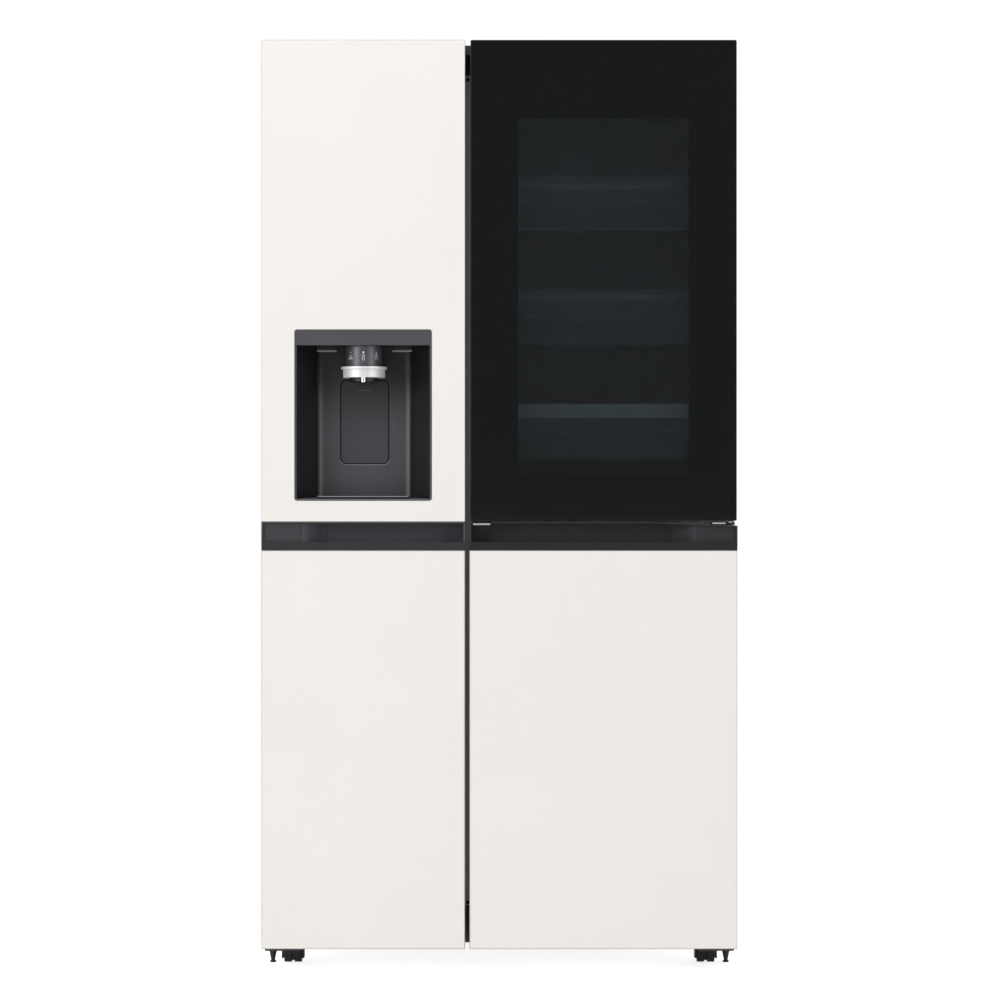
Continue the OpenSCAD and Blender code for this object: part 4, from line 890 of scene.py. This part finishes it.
def all_screws():
    """The screws of the rear panel, the top cover and the middle strip."""
    low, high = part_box("rear_panel")
    xs = [low.x + 9 * MM, (low.x + high.x) / 2 - 200 * MM, (low.x + high.x) / 2 + 200 * MM,
          high.x - 9 * MM]
    make_screws("rear_panel_screws", [(x, high.y - 0.1 * MM, high.z - 12 * MM) for x in xs]
                + [(x, high.y - 0.1 * MM, low.z + (high.z - low.z) * i / 5)
                   for x in (xs[0], xs[3]) for i in range(1, 5)], "Y", 1, "cabinet")
    low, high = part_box("top_cover")
    make_screws("top_cover_screws", [(side * 0.36, high.y - 30 * MM, high.z - 0.1 * MM)
                                     for side in (-1, 0, 1)], "Z", 1, "cabinet", 5 * MM, "hard_black")
    low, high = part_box("centre_mullion")
    middle = (low.x + high.x) / 2
    make_screws("mullion_screws", [(middle, low.y + 0.1 * MM, z)
                                   for z in (low.z + 6 * MM, high.z - 8 * MM)],
                "Y", -1, "cabinet", 3.4 * MM, "hard_black")


def pipe(name, points, radius, finish_name, body):
    """A bent tube through the given points, made a mesh."""
    curve = bpy.data.curves.new(name, "CURVE")
    curve.dimensions = "3D"
    curve.bevel_depth = radius
    curve.bevel_resolution = 4
    curve.resolution_u = 8
    curve.use_fill_caps = True
    spline = curve.splines.new("BEZIER")
    spline.bezier_points.add(len(points) - 1)
    for knot, at in zip(spline.bezier_points, points):
        knot.co = at
        knot.handle_left_type = knot.handle_right_type = "AUTO"
    holder = bpy.data.objects.new(name + "_path", curve)
    bpy.context.scene.collection.objects.link(holder)
    tube = bpy.data.meshes.new_from_object(holder.evaluated_get(
        bpy.context.evaluated_depsgraph_get()))
    bpy.data.objects.remove(holder)
    bm = bmesh.new()
    bm.from_mesh(tube)
    bmesh.ops.recalc_face_normals(bm, faces=bm.faces)
    for face in bm.faces:
        face.material_index = 0
    settle(name, bm, [finish_name], body)


def make_pipes():
    """The compressor's pipes to the condenser and up to the cabinet, and its closed filling stub."""
    low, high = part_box("compressor")
    middle = (low + high) / 2
    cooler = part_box("condenser")[1].x
    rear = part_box("rear_panel")[0].y - 13 * MM
    pipe("discharge_pipe",
         [(low.x + 8 * MM, middle.y, middle.z),
          (low.x - 22 * MM, middle.y + 30 * MM, middle.z),
          (low.x - 60 * MM, rear, 70 * MM),
          (-60 * MM, rear, 62 * MM),
          (cooler + 16 * MM, rear, 70 * MM),
          (cooler - 4 * MM, rear - 14 * MM, 100 * MM)],
         3 * MM, "copper_pipe", "cabinet")
    pipe("suction_pipe",
         [(high.x - 8 * MM, middle.y, middle.z),
          (high.x + 20 * MM, middle.y, middle.z),
          (high.x + 30 * MM, middle.y - 10 * MM, middle.z + 30 * MM),
          (high.x + 30 * MM, middle.y - 20 * MM, 235 * MM)],
         4 * MM, "copper_pipe", "cabinet")
    pipe("service_pipe",
         [(middle.x - 30 * MM, high.y - 12 * MM, middle.z),
          (middle.x - 36 * MM, high.y - 2 * MM, middle.z + 6 * MM),
          (middle.x - 38 * MM, high.y + MM, middle.z + 40 * MM)],
         3 * MM, "copper_pipe", "cabinet")


make_rear_cover()
all_screws()
make_pipes()

# ---- Floor and light ----

WHITE = (1, 1, 1, 1)


def make_floor():
    """A large pale floor whose look is mostly its own light, so that it stays even."""
    bm = bmesh.new()
    bmesh.ops.create_grid(bm, x_segments=1, y_segments=1, size=60)
    mesh = bpy.data.meshes.new("floor")
    bm.to_mesh(mesh)
    bm.free()
    floor = bpy.data.objects.new("floor", mesh)
    bpy.context.scene.collection.objects.link(floor)
    made = bpy.data.materials.new("pale_floor")
    made.use_nodes = True
    tree = made.node_tree
    tree.nodes["Principled BSDF"].inputs["Base Color"].default_value = (0.9, 0.9, 0.9, 1)
    tree.nodes["Principled BSDF"].inputs["Roughness"].default_value = 0.9
    tree.nodes["Principled BSDF"].inputs["Emission Color"].default_value = WHITE
    paths = tree.nodes.new("ShaderNodeLightPath")
    pick = tree.nodes.new("ShaderNodeMix")
    pick.inputs["A"].default_value = 0.12
    pick.inputs["B"].default_value = 0.75
    tree.links.new(paths.outputs["Is Camera Ray"], pick.inputs["Factor"])
    tree.links.new(pick.outputs["Result"], tree.nodes["Principled BSDF"].inputs["Emission Strength"])
    mesh.materials.append(made)


def make_world():
    """White all round for the eye; dimmer behind the camera for the light it sheds."""
    world = bpy.data.worlds.new("studio")
    bpy.context.scene.world = world
    world.use_nodes = True
    tree = world.node_tree
    back = tree.nodes["Background"]
    place = tree.nodes.new("ShaderNodeTexCoord")
    split = tree.nodes.new("ShaderNodeSeparateXYZ")
    tree.links.new(place.outputs["Generated"], split.inputs["Vector"])
    band = tree.nodes.new("ShaderNodeMapRange")
    band.interpolation_type = "SMOOTHSTEP"
    for label, value in (("From Min", -0.93), ("From Max", -0.55), ("To Min", 0.2), ("To Max", 0.55)):
        band.inputs[label].default_value = value
    tree.links.new(split.outputs["Y"], band.inputs["Value"])
    paths = tree.nodes.new("ShaderNodeLightPath")
    pick = tree.nodes.new("ShaderNodeMix")
    tree.links.new(paths.outputs["Is Camera Ray"], pick.inputs["Factor"])
    tree.links.new(band.outputs["Result"], pick.inputs["A"])
    pick.inputs["B"].default_value = 1.0
    tree.links.new(pick.outputs["Result"], back.inputs["Strength"])
    back.inputs["Color"].default_value = WHITE


def soft_light(name, place, aim, size, power):
    lamp = bpy.data.lights.new(name, "AREA")
    lamp.shape = "RECTANGLE"
    lamp.size, lamp.size_y = size
    lamp.energy = power
    holder = bpy.data.objects.new(name, lamp)
    bpy.context.scene.collection.objects.link(holder)
    holder.location = place
    holder.rotation_euler = (Vector(aim) - Vector(place)).to_track_quat("-Z", "Y").to_euler()


make_floor()
make_world()
soft_light("left_softbox", (-4.2, -4.0, 2.2), (0, 0, 0.9), (2.4, 2.6), 125)
soft_light("right_softbox", (4.2, -4.0, 2.2), (0, 0, 0.9), (2.4, 2.6), 66)
soft_light("top_softbox", (0, -1.6, 4.6), (0, 0, 0.8), (3.0, 2.0), 50)
